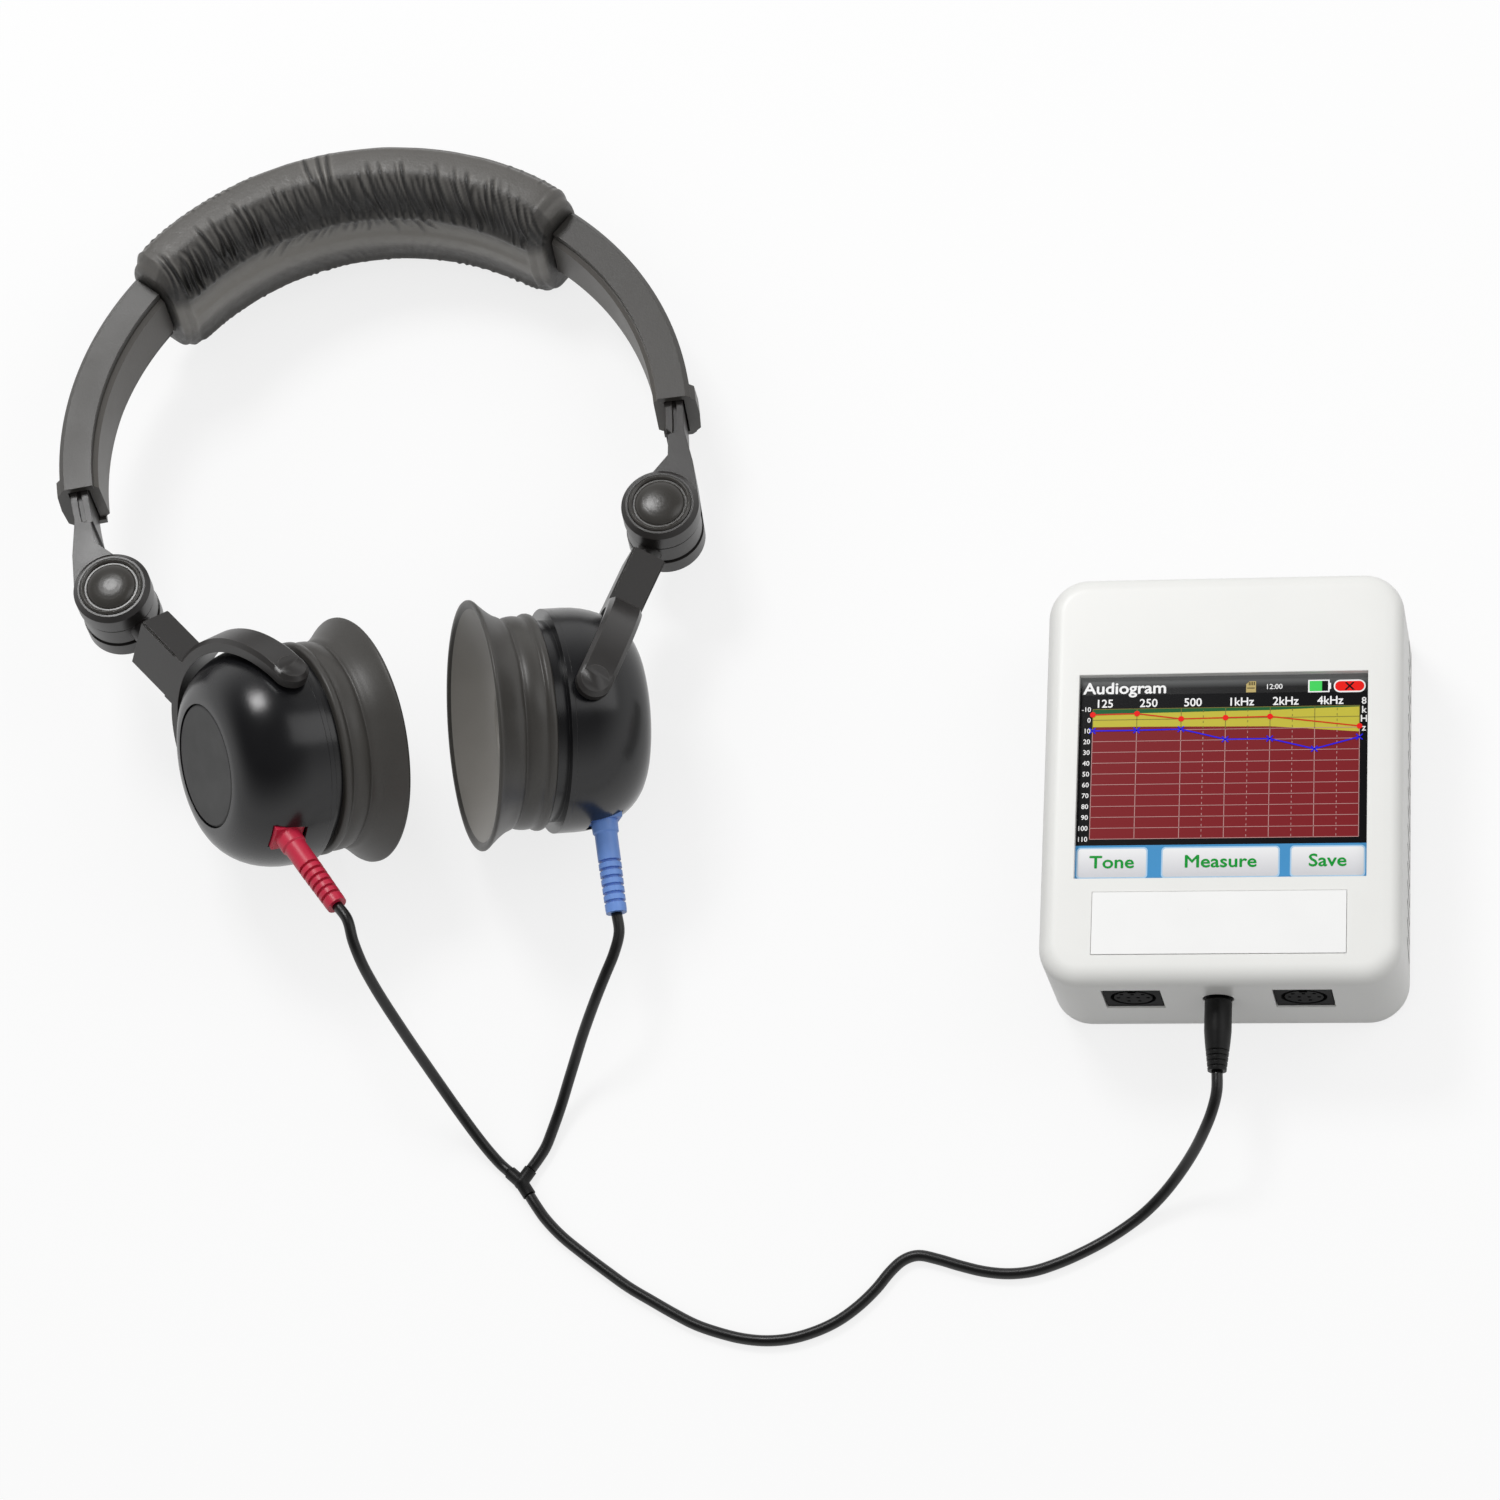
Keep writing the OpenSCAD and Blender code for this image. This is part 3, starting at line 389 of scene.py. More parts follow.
def smooth_group():
    """Nodes that join a solid's doubled corners and shade it smooth, but for its sharp edges."""
    group = bpy.data.node_groups.new("smooth_by_angle", "GeometryNodeTree")
    group.interface.new_socket("Geometry", in_out="INPUT", socket_type="NodeSocketGeometry")
    group.interface.new_socket("Geometry", in_out="OUTPUT", socket_type="NodeSocketGeometry")
    nodes, links = group.nodes, group.links
    start, end = nodes.new("NodeGroupInput"), nodes.new("NodeGroupOutput")
    normal = nodes.new("GeometryNodeSetMeshNormal")
    normal.mode = "SHARPNESS"
    weld = nodes.new("GeometryNodeMergeByDistance")
    weld.inputs["Distance"].default_value = WELD
    angle = nodes.new("GeometryNodeInputMeshEdgeAngle")
    sharp = nodes.new("FunctionNodeCompare")
    sharp.data_type, sharp.operation = "FLOAT", "GREATER_THAN"
    sharp.inputs["B"].default_value = math.radians(SMOOTH_UP_TO)
    face = nodes.new("GeometryNodeSetShadeSmooth")
    face.domain = "FACE"
    edge = nodes.new("GeometryNodeSetShadeSmooth")
    edge.domain = "EDGE"
    edge.inputs["Shade Smooth"].default_value = False
    links.new(start.outputs[0], normal.inputs["Mesh"])
    links.new(normal.outputs["Mesh"], weld.inputs["Geometry"])
    links.new(weld.outputs["Geometry"], face.inputs["Geometry"])
    links.new(face.outputs["Geometry"], edge.inputs["Geometry"])
    links.new(angle.outputs["Unsigned Angle"], sharp.inputs["A"])
    links.new(sharp.outputs["Result"], edge.inputs["Selection"])
    links.new(edge.outputs["Geometry"], end.inputs[0])
    return group


SMOOTH = smooth_group()


def paint(node_names, material):
    """Gives the named solids their material and smooth shading."""
    for name in node_names.split():
        data = NODES[name].data
        data.materials.clear()
        data.materials.append(material)
        NODES[name].modifiers.new("smooth_by_angle", "NODES").node_group = SMOOTH


CASE = moulded("case_white", srgb(240, 240, 237), 0.36, grain=(2600, 0.16, 0.00004),
               patch=(30, 0.012), speck=0.0, bevel=0.0004, rough_by=0.04)
GLASS = moulded("screen_glass", srgb(12, 13, 16), 0.07, grain=(300, 0.02, 0.00002), patch=(20, 0.1),
                speck=0.0, bevel=0, rough_by=0.01)
PLATE = moulded("label_card", srgb(250, 250, 249), 0.3, grain=(3200, 0.1, 0.00002),
                patch=(80, 0.006), speck=0.0, bevel=0.0001, rough_by=0.03)
# painted shade for the walls of the vent slots
VENT_SHADE = moulded("vent_painted_shade", srgb(52, 52, 52), 0.8, bevel=0, specular=0.1)
SOCKET = moulded("socket_black", srgb(9, 9, 10), 0.7, wear=0.1, specular=0.12)
STEEL = moulded("bright_steel", srgb(190, 191, 194), 0.24, grain=(3000, 0.1, 0.00002),
                patch=(200, 0.05), speck=0.0, metallic=1.0, bevel=0.0001)
BOARD = moulded("board_green", srgb(30, 84, 48), 0.45, grain=(600, 0.2, 0.00005))
CHIP = moulded("chip_black", srgb(32, 33, 36), 0.5)
CELL = moulded("battery_wrap", srgb(74, 96, 130), 0.35, coat=0.3)
PLUG = moulded("plug_black", srgb(15, 15, 15), 0.45, grain=(1800, 0.3, 0.00006), wear=0.15,
               specular=0.3)
CORD = moulded("cord_black", srgb(13, 13, 13), 0.38, grain=(2500, 0.25, 0.00004), patch=(120, 0.15),
               bevel=0)
BAND = moulded("band_black", srgb(58, 56, 53), 0.4, grain=(1700, 0.35, 0.00007), patch=(35, 0.14),
               wear=0.35, wear_to=srgb(120, 116, 110))
LINER = moulded("liner_black", srgb(88, 85, 81), 0.44, grain=(1500, 0.4, 0.00008),
                patch=(35, 0.12), wear=0.25)
HINGE = moulded("hinge_black", srgb(40, 38, 37), 0.34, grain=(1700, 0.3, 0.00006), wear=0.35,
                wear_to=srgb(120, 116, 110))
CAPS = moulded("cap_black", srgb(56, 54, 51), 0.27, grain=(1900, 0.25, 0.00005), wear=0.3,
               wear_to=srgb(110, 106, 100))
CUP = moulded("cup_black", srgb(20, 20, 22), 0.24, grain=(2200, 0.16, 0.00004), patch=(30, 0.12),
              wear=0.25, wear_to=srgb(100, 98, 95))
DISC = moulded("cup_disc", srgb(47, 47, 47), 0.6, grain=(2600, 0.35, 0.00006), patch=(60, 0.05))
RUBBER = moulded("cushion_rubber", srgb(62, 60, 57), 0.42, grain=(1600, 0.3, 0.00007),
                 patch=(26, 0.16), bevel=0, wear=0.12, wear_to=srgb(110, 106, 100), rough_by=0.08)
# painted reflection: the dish is the same rubber as the rest of the cushion, in a paler copy of its
# colour that stands for the bright floor it reflects
DISH_REFLECTION = moulded("cushion_dish_painted_reflection", srgb(136, 133, 128), 0.42, grain=(1600, 0.3, 0.00007),
               patch=(22, 0.12), speck=0.02, bevel=0, rough_by=0.06)
FABRIC = moulded("driver_grey", srgb(70, 70, 70), 0.6)
RED = moulded("grommet_red", srgb(196, 36, 66), 0.4, grain=(1800, 0.3, 0.00006), patch=(90, 0.08),
              speck=0.02, wear=0.2, wear_to=srgb(226, 90, 112))
BLUE = moulded("grommet_blue", srgb(110, 150, 222), 0.4, grain=(1800, 0.3, 0.00006),
               patch=(90, 0.08), speck=0.02, wear=0.2, wear_to=srgb(160, 190, 240))
# its second colour, the pale grey, is the colour of the painted sheen
HIDE = leather("pad_leatherette", srgb(50, 48, 46), srgb(150, 147, 142), 0.46)

paint("top_shell base_cover", CASE)
paint("touch_glass display_module", GLASS)
paint("label_plate", PLATE)
paint("main_board", BOARD)
paint("board_parts", CHIP)
paint("battery_pack", CELL)
paint("din_sockets jack_socket power_switch power_knob", SOCKET)
paint("usb_socket case_screws board_screws plug_pin band_spring band_rivets", STEEL)
paint("plug_body cord_split", PLUG)
for side in SIDES:
    paint(f"{side}_hinge_pin {side}_pivot_pins {side}_grille", STEEL)
    paint(f"{side}_band_arm", BAND)
    paint(f"{side}_band_liner", LINER)
    paint(f"{side}_slider {side}_hinge_ring {side}_yoke", HINGE)
    paint(f"{side}_hinge_caps", CAPS)
    paint(f"{side}_cup_shell {side}_baffle", CUP)
    paint(f"{side}_cup_cap", DISC)
    paint(f"{side}_driver", FABRIC)
paint("red_relief", RED)
paint("blue_relief", BLUE)


# the right wall's thickness, and the vents' height and middle and half length in it, in mm
VENT_X, VENT_Z = (41.7, 43.99), (3, 15)
VENT_Y, VENT_HALF = 2, 45


def darken_vents():
    """The walls of the vent slots get painted shade, as dark as the depth behind them."""
    data = NODES["top_shell"].data
    data.materials.append(VENT_SHADE)
    for face in data.polygons:
        x, y, z = (v / MM for v in face.center)
        if (VENT_X[0] < x < VENT_X[1] and VENT_Z[0] < z < VENT_Z[1]
                and abs(y - VENT_Y) < VENT_HALF and abs(face.normal.x) < 0.5):
            face.material_index = 1


darken_vents()


# ---------------------------------------------------------------- meshes

def mesh_piece(name, points, faces, materials, place=None, body=None, marks=None, smooth=True):
    """Object from points in mm. marks gives the material of each face."""
    data = bpy.data.meshes.new(name)
    place = place or Matrix.Identity(4)
    moved = [(place @ Vector(p)) * MM for p in points]
    if place.to_3x3().determinant() < 0:
        faces = [tuple(reversed(f)) for f in faces]
    data.from_pydata(moved, [], faces)
    for m in materials:
        data.materials.append(m)
    if marks:
        data.polygons.foreach_set("material_index", marks)
    data.polygons.foreach_set("use_smooth", [smooth] * len(data.polygons))
    data.update()
    obj = bpy.data.objects.new(name, data)
    SCENE.collection.objects.link(obj)
    if body:
        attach(obj, body)
    return obj


make_cord("lead_main", MAIN_ROUTE[::-1], "cord_main")
make_cord("lead_red", RED_ROUTE, "cord_red")
make_cord("lead_blue", BLUE_ROUTE, "cord_blue")


# ---------------------------------------------------------------- head pad

PAD_HALF = 45           # degrees of the band to each side of its top
PAD_W = 40
PAD_OUT = 84.6          # radius of the outer face
PAD_SEAM = 74.5         # radius at which the section is widest
PAD_CROWN = 8.3         # depth of the inner cushion from there
PAD_END_HALF = 13       # half width at the sleeve's ends
PAD_N, PAD_M = 320, 112     # steps along and around the sleeve
# Ways from the outer face's middle round the section, in mm: the piped edge, and the stitched
# line on the upper and on the lower side.
PIPING = 18.6
STITCH = {1: 41.5, -1: 36.5}
CREASE_SEED = 11
FOAM_STEP = (4, 2)      # the coarse cloth takes every so many points along and around
FOAM_FRAMES = 20
FOAM_PRESSURE = 4
FOAM_MOVE = 0.9


def swell(u):
    return math.sqrt(1 - (abs(u) * 0.995) ** 22)


def pad_section(full, b):
    """Point of the sleeve's section at angle b: across the band and out from its centre. The
    outer face is broad and flat, and the inner cushion is narrower."""
    half = PAD_END_HALF + (PAD_W / 2 - PAD_END_HALF) * full
    depth = 4 + (PAD_CROWN - 4) * full
    rise = 8 + (PAD_OUT - PAD_SEAM - 8) * full
    c, s = math.cos(b), math.sin(b)
    if s >= 0:
        return half * math.copysign(abs(c) ** 0.46, c), rise * s ** 0.52
    taper = 1 - 0.42 * full * (-s) ** 2.2
    return half * taper * math.copysign(abs(c) ** 0.55, c), -depth * (-s) ** 0.8


def pad_around():
    """Angles that lie evenly round the section, the way from the outer face's middle to each in
    mm, and the side of the sleeve that each is on."""
    fine = [math.radians(90 - 0.09 * i) for i in range(4001)]
    line = [Vector(pad_section(1, b)) for b in fine]
    way = [0]
    for p, q in zip(line, line[1:]):
        way.append(way[-1] + (q - p).length)
    at = np.arange(PAD_M) * way[-1] / PAD_M
    return np.interp(at, way, fine), np.minimum(at, way[-1] - at), np.where(
        at < way[-1] / 2, 1, -1)


def pad_turn(i):
    """Place along the sleeve from -1 to 1, closer together at its ends."""
    return -math.cos(math.pi * (0.06 + 0.88 * i / PAD_N)) / math.cos(math.pi * 0.06)


def pad_creases(run, way, side):
    """How far each point of the sleeve is drawn in, in mm: fine creases, each with its own place,
    slant, length and depth, gathered towards the stitched line of each side."""
    rng = np.random.default_rng(CREASE_SEED)
    drawn = np.zeros((len(run), len(way)))

    def crease(at, slant, high, low, depth, width, which, curl):
        """One crease from the way high to the way low, with a low ridge on each side of it."""
        t = np.clip((way - high) / (low - high), 0, 1)
        reach = t ** 0.7 * (1 - t ** 9) * (side == which)
        line = at + slant * (way - (low + high) / 2) + curl * np.sin(math.pi * t)
        gap = (run[:, None] - line[None, :]) / width
        fold = np.exp(-gap ** 2) - 0.4 * np.exp(-((gap - 1.8) / 1.1) ** 2) - 0.4 * np.exp(
            -((gap + 1.8) / 1.1) ** 2)
        drawn[:] += depth * fold * reach[None, :]

    for which in (1, -1):
        # fine ruche that ends at the stitched line
        for at in np.arange(-57, 57.5, 1.45):
            slant = -0.2 + 0.0055 * at + rng.uniform(-0.12, 0.12)
            crease(at + rng.uniform(-0.5, 0.5), slant, rng.uniform(24, 31),
                   STITCH[which] + rng.uniform(-2, 1.5),
                   rng.uniform(0.6, 1.5) * (1 if which == 1 else 0.4),
                   rng.uniform(0.38, 0.62), which, rng.uniform(-0.7, 0.7))
        # wrinkles of the inner cushion, slanting away from its middle
        for at in np.arange(-24, 28, 2.2):
            slant = max(-0.8, min(0.8, 0.035 * (at + 9)))
            crease(at + rng.uniform(-0.8, 0.8), slant, rng.uniform(46, 50), STITCH[which],
                   rng.uniform(0.4, 0.9) * (1 if which == 1 else 0.15),
                   rng.uniform(0.6, 1.0), which, rng.uniform(-0.6, 0.6))
        # short puckers of the piped edge
        for at in np.concatenate([np.arange(22, 56, 1.9), np.arange(-54, -40, 3)]):
            crease(at + rng.uniform(-0.5, 0.5), rng.uniform(-0.3, 0.1), rng.uniform(13, 15),
                   rng.uniform(19.5, 22), rng.uniform(0.15, 0.4), rng.uniform(0.35, 0.5), which,
                   0.2)
        # three that run on into the outer face
        for at in (3.2, 5.4, 8.6):
            crease(at, rng.uniform(-0.1, 0.1), 16, 30, 0.55, 0.5, which, 0.4)
    return drawn


def pad_rings(grid):
    """Points and faces of a closed sleeve from its grid of points, with its two ends."""
    rows, m = grid.shape[:2]
    points = [tuple(p) for p in grid.reshape(-1, 3)]
    faces = [(i * m + k, (i + 1) * m + k, (i + 1) * m + (k + 1) % m, i * m + (k + 1) % m)
             for i in range(rows - 1) for k in range(m)]
    for row in (0, rows - 1):
        centre = grid[row].mean(axis=0)
        ring = [row * m + k for k in range(m)]
        for share in (0.75, 0.45, 0.2, 0):
            start = len(points)
            if share:
                points += [tuple(centre + (p - centre) * share) for p in grid[row]]
                new = [start + k for k in range(m)]
            else:
                points.append(tuple(centre))
                new = [start] * m
            for k in range(m):
                a, b, c, d = ring[k], ring[(k + 1) % m], new[(k + 1) % m], new[k]
                face = (a, b, c) if c == d else (a, b, c, d)
                faces.append(face if row == 0 else face[::-1])
            ring = new
    return points, faces


def foam_filled(grid, held):
    """The sleeve's grid after foam fills it: a coarse cloth is blown up, held at its stitches and
    ends, and its moves, none over FOAM_MOVE, are carried to the fine grid. All in mm."""
    down, round_by = FOAM_STEP
    coarse = grid[::down, ::round_by]
    points, faces = pad_rings(coarse)
    bag = mesh_piece("foam_bag", points, faces, [HIDE])
    group = bag.vertex_groups.new(name="held")
    weights = np.ones(len(points))
    weights[:coarse.shape[0] * coarse.shape[1]] = held[::down, ::round_by].ravel()
    for i, weight in enumerate(weights):
        group.add([i], float(weight), "REPLACE")
    cloth = bag.modifiers.new("cloth", "CLOTH")
    cloth.settings.quality = 6
    cloth.settings.mass = 0.2
    cloth.settings.tension_stiffness = 15
    cloth.settings.compression_stiffness = 8
    cloth.settings.shear_stiffness = 6
    cloth.settings.bending_stiffness = 4
    cloth.settings.vertex_group_mass = "held"
    cloth.settings.use_pressure = True
    cloth.settings.uniform_pressure_force = FOAM_PRESSURE
    cloth.settings.effector_weights.gravity = 0
    cloth.collision_settings.use_collision = False
    for frame_number in range(1, FOAM_FRAMES + 1):
        SCENE.frame_set(frame_number)
    mesh = bag.evaluated_get(bpy.context.evaluated_depsgraph_get()).to_mesh()
    after = np.zeros(len(mesh.vertices) * 3)
    mesh.vertices.foreach_get("co", after)
    bag.to_mesh_clear()
    data = bag.data
    bpy.data.objects.remove(bag)
    bpy.data.meshes.remove(data)
    SCENE.frame_set(1)
    move = after.reshape(-1, 3)[:coarse.shape[0] * coarse.shape[1]] / MM - coarse.reshape(-1, 3)
    size = np.linalg.norm(move, axis=1, keepdims=True)
    move = (move * np.minimum(1, FOAM_MOVE / np.maximum(size, 1e-9))).reshape(coarse.shape)
    rows = np.arange(grid.shape[0]) / down
    columns = np.arange(grid.shape[1]) / round_by
    wide = np.concatenate([move, move[:, :1]], axis=1)
    out = np.zeros(grid.shape)
    for axis in range(3):
        part = np.array([np.interp(columns, np.arange(wide.shape[1]), row)
                         for row in wide[:, :, axis]])
        out[:, :, axis] = np.array([np.interp(rows, np.arange(part.shape[0]), part[:, k])
                                    for k in range(part.shape[1])]).T
    return grid + out


def make_pad():
    """Leatherette sleeve: broad outer face with a piped edge, ruched sides, a stitched line and
    a full inner cushion, with a hem at each end."""
    turns, way, side = pad_around()
    spread = np.array([pad_turn(i) for i in range(PAD_N + 1)])
    run = PAD_SEAM * math.radians(PAD_HALF) * spread
    full = np.array([swell(u) for u in spread])
    grid = np.zeros((PAD_N + 1, PAD_M, 3))
    for i, u in enumerate(spread):
        a = math.radians(90 + PAD_HALF * u)
        for k, b in enumerate(turns):
            x, y = pad_section(full[i], b)
            r = PAD_SEAM + y
            grid[i, k] = (r * math.cos(a), BAND_Y + r * math.sin(a), x)
    stitch = np.where(side == 1, STITCH[1], STITCH[-1])
    held = np.exp(-((way - stitch) / 2.5) ** 2) + np.exp(-((way - PIPING + 0.6) / 4) ** 2)
    held = np.clip(held[None, :] + (1 - full[:, None]) * 1.5, 0, 1)
    grid = foam_filled(grid, held)

    drawn = pad_creases(run, way, side)
    end = run[-1] - np.abs(run)
    stitched = np.exp(-((way - stitch) / 1.3) ** 2)
    height = -drawn
    # piping with a groove behind it, the stitched line, and the fullness below that
    height += (0.45 * np.exp(-((way - PIPING) / 0.8) ** 2)
               - 0.3 * np.exp(-((way - PIPING - 2) / 0.9) ** 2)
               - 1.1 * stitched + 0.7 * np.exp(-((way - stitch - 6.5) / 4) ** 2))[None, :]
    for i in range(PAD_N + 1):
        for k in range(PAD_M):
            height[i, k] += 0.12 * noise.noise(Vector((run[i] * 0.15, way[k] * 0.12,
                                                      33 + side[k])))
    # the ends are plain, with a hem
    height *= np.clip((end[:, None] - 2.6) / 2.5, 0, 1)
    height += (0.45 * np.exp(-((end - 1.5) / 0.8) ** 2) - 0.3 * np.exp(
        -((end - 3.3) / 0.6) ** 2))[:, None]
    height = np.clip(height, -2.4, 0.9)
    along = np.gradient(grid, axis=0)
    around = np.roll(grid, -1, axis=1) - np.roll(grid, 1, axis=1)
    normal = np.cross(around, along)
    normal /= np.linalg.norm(normal, axis=2, keepdims=True) + 1e-12
    points, faces = pad_rings(grid + normal * height[:, :, None])
    pad = mesh_piece("pad_sleeve", points, faces, [HIDE], HEADSET, "headband")
    for vertex in pad.data.vertices:
        # flat where it rests on the table
        vertex.co.z = max(vertex.co.z, 0.1 * MM)

    # painted shade: nearly black in the creases' valleys and in a band just above each stitched
    # line
    dark = np.clip(1.5 * drawn, 0, 0.9) + 0.95 * np.exp(-((way - stitch + 4) / 4.6) ** 2)[None, :]
    # painted sheen: a little paler all over, more on the outer face's side, most on the full lower
    # side of the inner cushion and on the ridges between creases
    pale = np.where(way < 27, 0.3, 0.14) + 0.9 * np.exp(-((way - 51) / 7.5) ** 4)
    pale = np.clip(pale[None, :] - 1.2 * drawn, 0, 1)
    for label, field in (("dark", dark), ("pale", pale)):
        value = np.zeros(len(points))
        value[:field.size] = np.clip(field, 0, 1).ravel()
        pad.data.attributes.new(label, "FLOAT", "POINT").data.foreach_set("value", value)
    smooth = pad.modifiers.new("skin", "SUBSURF")
    smooth.levels = smooth.render_levels = 1
    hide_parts("head_pad")


make_pad()


# ---------------------------------------------------------------- ear cushions

CUP_H = 21.6
BAFFLE_TOP = CUP_H + 4.4
CUSHION_R = 31.6
CUSHION_H = 16


def cushion_outline():
    """Section of the rubber cushion: seat bead, two bands with a step, flare, rolled lip, dish."""
    z0 = BAFFLE_TOP
    rim = z0 + CUSHION_H
    out = [(22.3, z0 + 0.05), (24.5, z0 + 0.02), (26.6, z0 + 0.05), (27.2, z0 + 0.3),
           (27.4, z0 + 0.8), (27.4, z0 + 1.5), (27.2, z0 + 2.0), (26.8, z0 + 2.25),
           (26.55, z0 + 2.6), (26.65, z0 + 3.0), (26.85, z0 + 3.6), (26.95, z0 + 4.6),
           (26.9, z0 + 5.6), (26.75, z0 + 6.5), (26.5, z0 + 7.2), (26.2, z0 + 7.5),
           (26.15, z0 + 7.8), (26.45, z0 + 8.1), (26.8, z0 + 8.5), (27.1, z0 + 9.1)]
    for i in range(1, 11):
        t = i / 10
        out.append((27.1 + (CUSHION_R - 27.25) * t ** 1.35, z0 + 9.1 + (CUSHION_H - 10.1) * t))
    out += [(CUSHION_R, rim - 0.75), (CUSHION_R, rim - 0.4), (CUSHION_R - 0.2, rim - 0.12),
            (CUSHION_R - 0.6, rim), (CUSHION_R - 1.1, rim - 0.06), (CUSHION_R - 1.6, rim - 0.3)]
    for i in range(0, 19):
        t = i / 18
        out.append((CUSHION_R - 2.2 - (CUSHION_R - 14.4) * t,
                    rim - 0.8 - (CUSHION_H - 8.3) * math.sin(math.radians(90) * t)))
    out += [(12.05, z0 + 7.0), (11.95, z0 + 6.4), (12.1, z0 + 5.7), (12.6, z0 + 5),
            (14.5, z0 + 4), (17.5, z0 + 3.1), (20.3, z0 + 2.3), (21.8, z0 + 1.2), (22.1, z0 + 0.4)]
    return out


def make_cushion(s):
    outline = cushion_outline()
    turns = 160
    points = []
    for j, (r, z) in enumerate(outline):
        for k in range(turns):
            a = 2 * math.pi * k / turns
            # cast rubber is never quite true
            wobble = 0.07 * noise.noise(Vector((3 * math.cos(a), 3 * math.sin(a), z * 0.15 + 5)))
            points.append(((r + wobble) * math.cos(a), (r + wobble) * math.sin(a), z))
    count = len(outline)
    faces = [(j * turns + k, j * turns + (k + 1) % turns,
              ((j + 1) % count) * turns + (k + 1) % turns, ((j + 1) % count) * turns + k)
             for j in range(count) for k in range(turns)]
    # the dish's faces take the paler copy, painted reflection
    first = next(j for j, (r, z) in enumerate(outline) if r < CUSHION_R - 2 and j > count / 2)
    marks = [1 if j >= first else 0 for j in range(count) for k in range(turns)]
    obj = mesh_piece(f"{s}_cushion_rubber", points, faces, [RUBBER, DISH_REFLECTION], cup_frame(s),
                     f"{s}_cup", marks)
    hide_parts(f"{s}_ear_cushion")


for side in SIDES:
    make_cushion(side)


# ---------------------------------------------------------------- picture on the screen

SCREEN_W = 71
SCREEN_L = 53
GLASS_Z = 34
CHART = (0.047, 0.970, 0.158, 0.797)    # left, right, top and low edge


class Picture:
    """Thin flat shapes on the glass, in layers. Places run from 0 to 1 across and down."""

    def __init__(self):
        self.points, self.faces, self.marks, self.materials = [], [], [], []

    def at(self, u, v, layer):
        return (-SCREEN_W / 2 + SCREEN_W * u, SCREEN_L / 2 - SCREEN_L * v,
                GLASS_Z + 0.03 + 0.02 * layer)

    def mark(self, material):
        if material not in self.materials:
            self.materials.append(material)
        return self.materials.index(material)

    def shape(self, places, layer, material):
        start = len(self.points)
        self.points += [self.at(u, v, layer) for u, v in places]
        self.faces.append(tuple(range(start, start + len(places)))[::-1])
        self.marks.append(self.mark(material))

    def box(self, u0, v0, u1, v1, layer, material):
        self.shape([(u0, v0), (u1, v0), (u1, v1), (u0, v1)], layer, material)

    def round_box(self, u0, v0, u1, v1, r, layer, material):
        """r is the corner's radius in mm."""
        ru, rv = r / SCREEN_W, r / SCREEN_L
        places = []
        for cu, cv, start in ((u1 - ru, v0 + rv, -90), (u1 - ru, v1 - rv, 0),
                              (u0 + ru, v1 - rv, 90), (u0 + ru, v0 + rv, 180)):
            for i in range(9):
                a = math.radians(start + 90 * i / 8)
                places.append((cu + ru * math.cos(a), cv + rv * math.sin(a)))
        self.shape(places, layer, material)

    def disc(self, u, v, r, layer, material):
        places = [(u + r / SCREEN_W * math.cos(i * math.pi / 10),
                   v + r / SCREEN_L * math.sin(i * math.pi / 10)) for i in range(20)]
        self.shape(places, layer, material)

    def stroke(self, places, width, layer, material):
        """Line through places, width in mm."""
        for (u0, v0), (u1, v1) in zip(places, places[1:]):
            x, y = (u1 - u0) * SCREEN_W, (v1 - v0) * SCREEN_L
            size = math.hypot(x, y)
            nu, nv = -y / size * width / 2 / SCREEN_W, x / size * width / 2 / SCREEN_L
            self.shape([(u0 + nu, v0 + nv), (u0 - nu, v0 - nv), (u1 - nu, v1 - nv),
                        (u1 + nu, v1 + nv)], layer, material)

    def words(self, text, u, v, size, layer, material, align="LEFT", bold=0.0, stretch=1.0):
        """Lettering with its foot at v, its size in mm."""
        data = bpy.data.curves.new("lettering", "FONT")
        data.body = text
        data.size = size
        data.align_x = align
        data.resolution_u = 3
        obj = bpy.data.objects.new("lettering", data)
        SCENE.collection.objects.link(obj)
        bpy.context.view_layer.update()
        mesh = bpy.data.meshes.new_from_object(obj.evaluated_get(
            bpy.context.evaluated_depsgraph_get()))
        # bold lettering is the same letter drawn a little to each side
        for k, (dx, dy) in enumerate(((-bold, 0), (bold, 0), (0, bold), (0, -bold))):
            start = len(self.points)
            for p in mesh.vertices:
                self.points.append(self.at(u + (p.co.x * stretch + dx) / SCREEN_W,
                                           v - (p.co.y + dy) / SCREEN_L, layer + 0.2 * k))
            for face in mesh.polygons:
                self.faces.append(tuple(start + i for i in face.vertices))
                self.marks.append(self.mark(material))
        bpy.data.objects.remove(obj)
        bpy.data.meshes.remove(mesh)
        bpy.data.curves.remove(data)


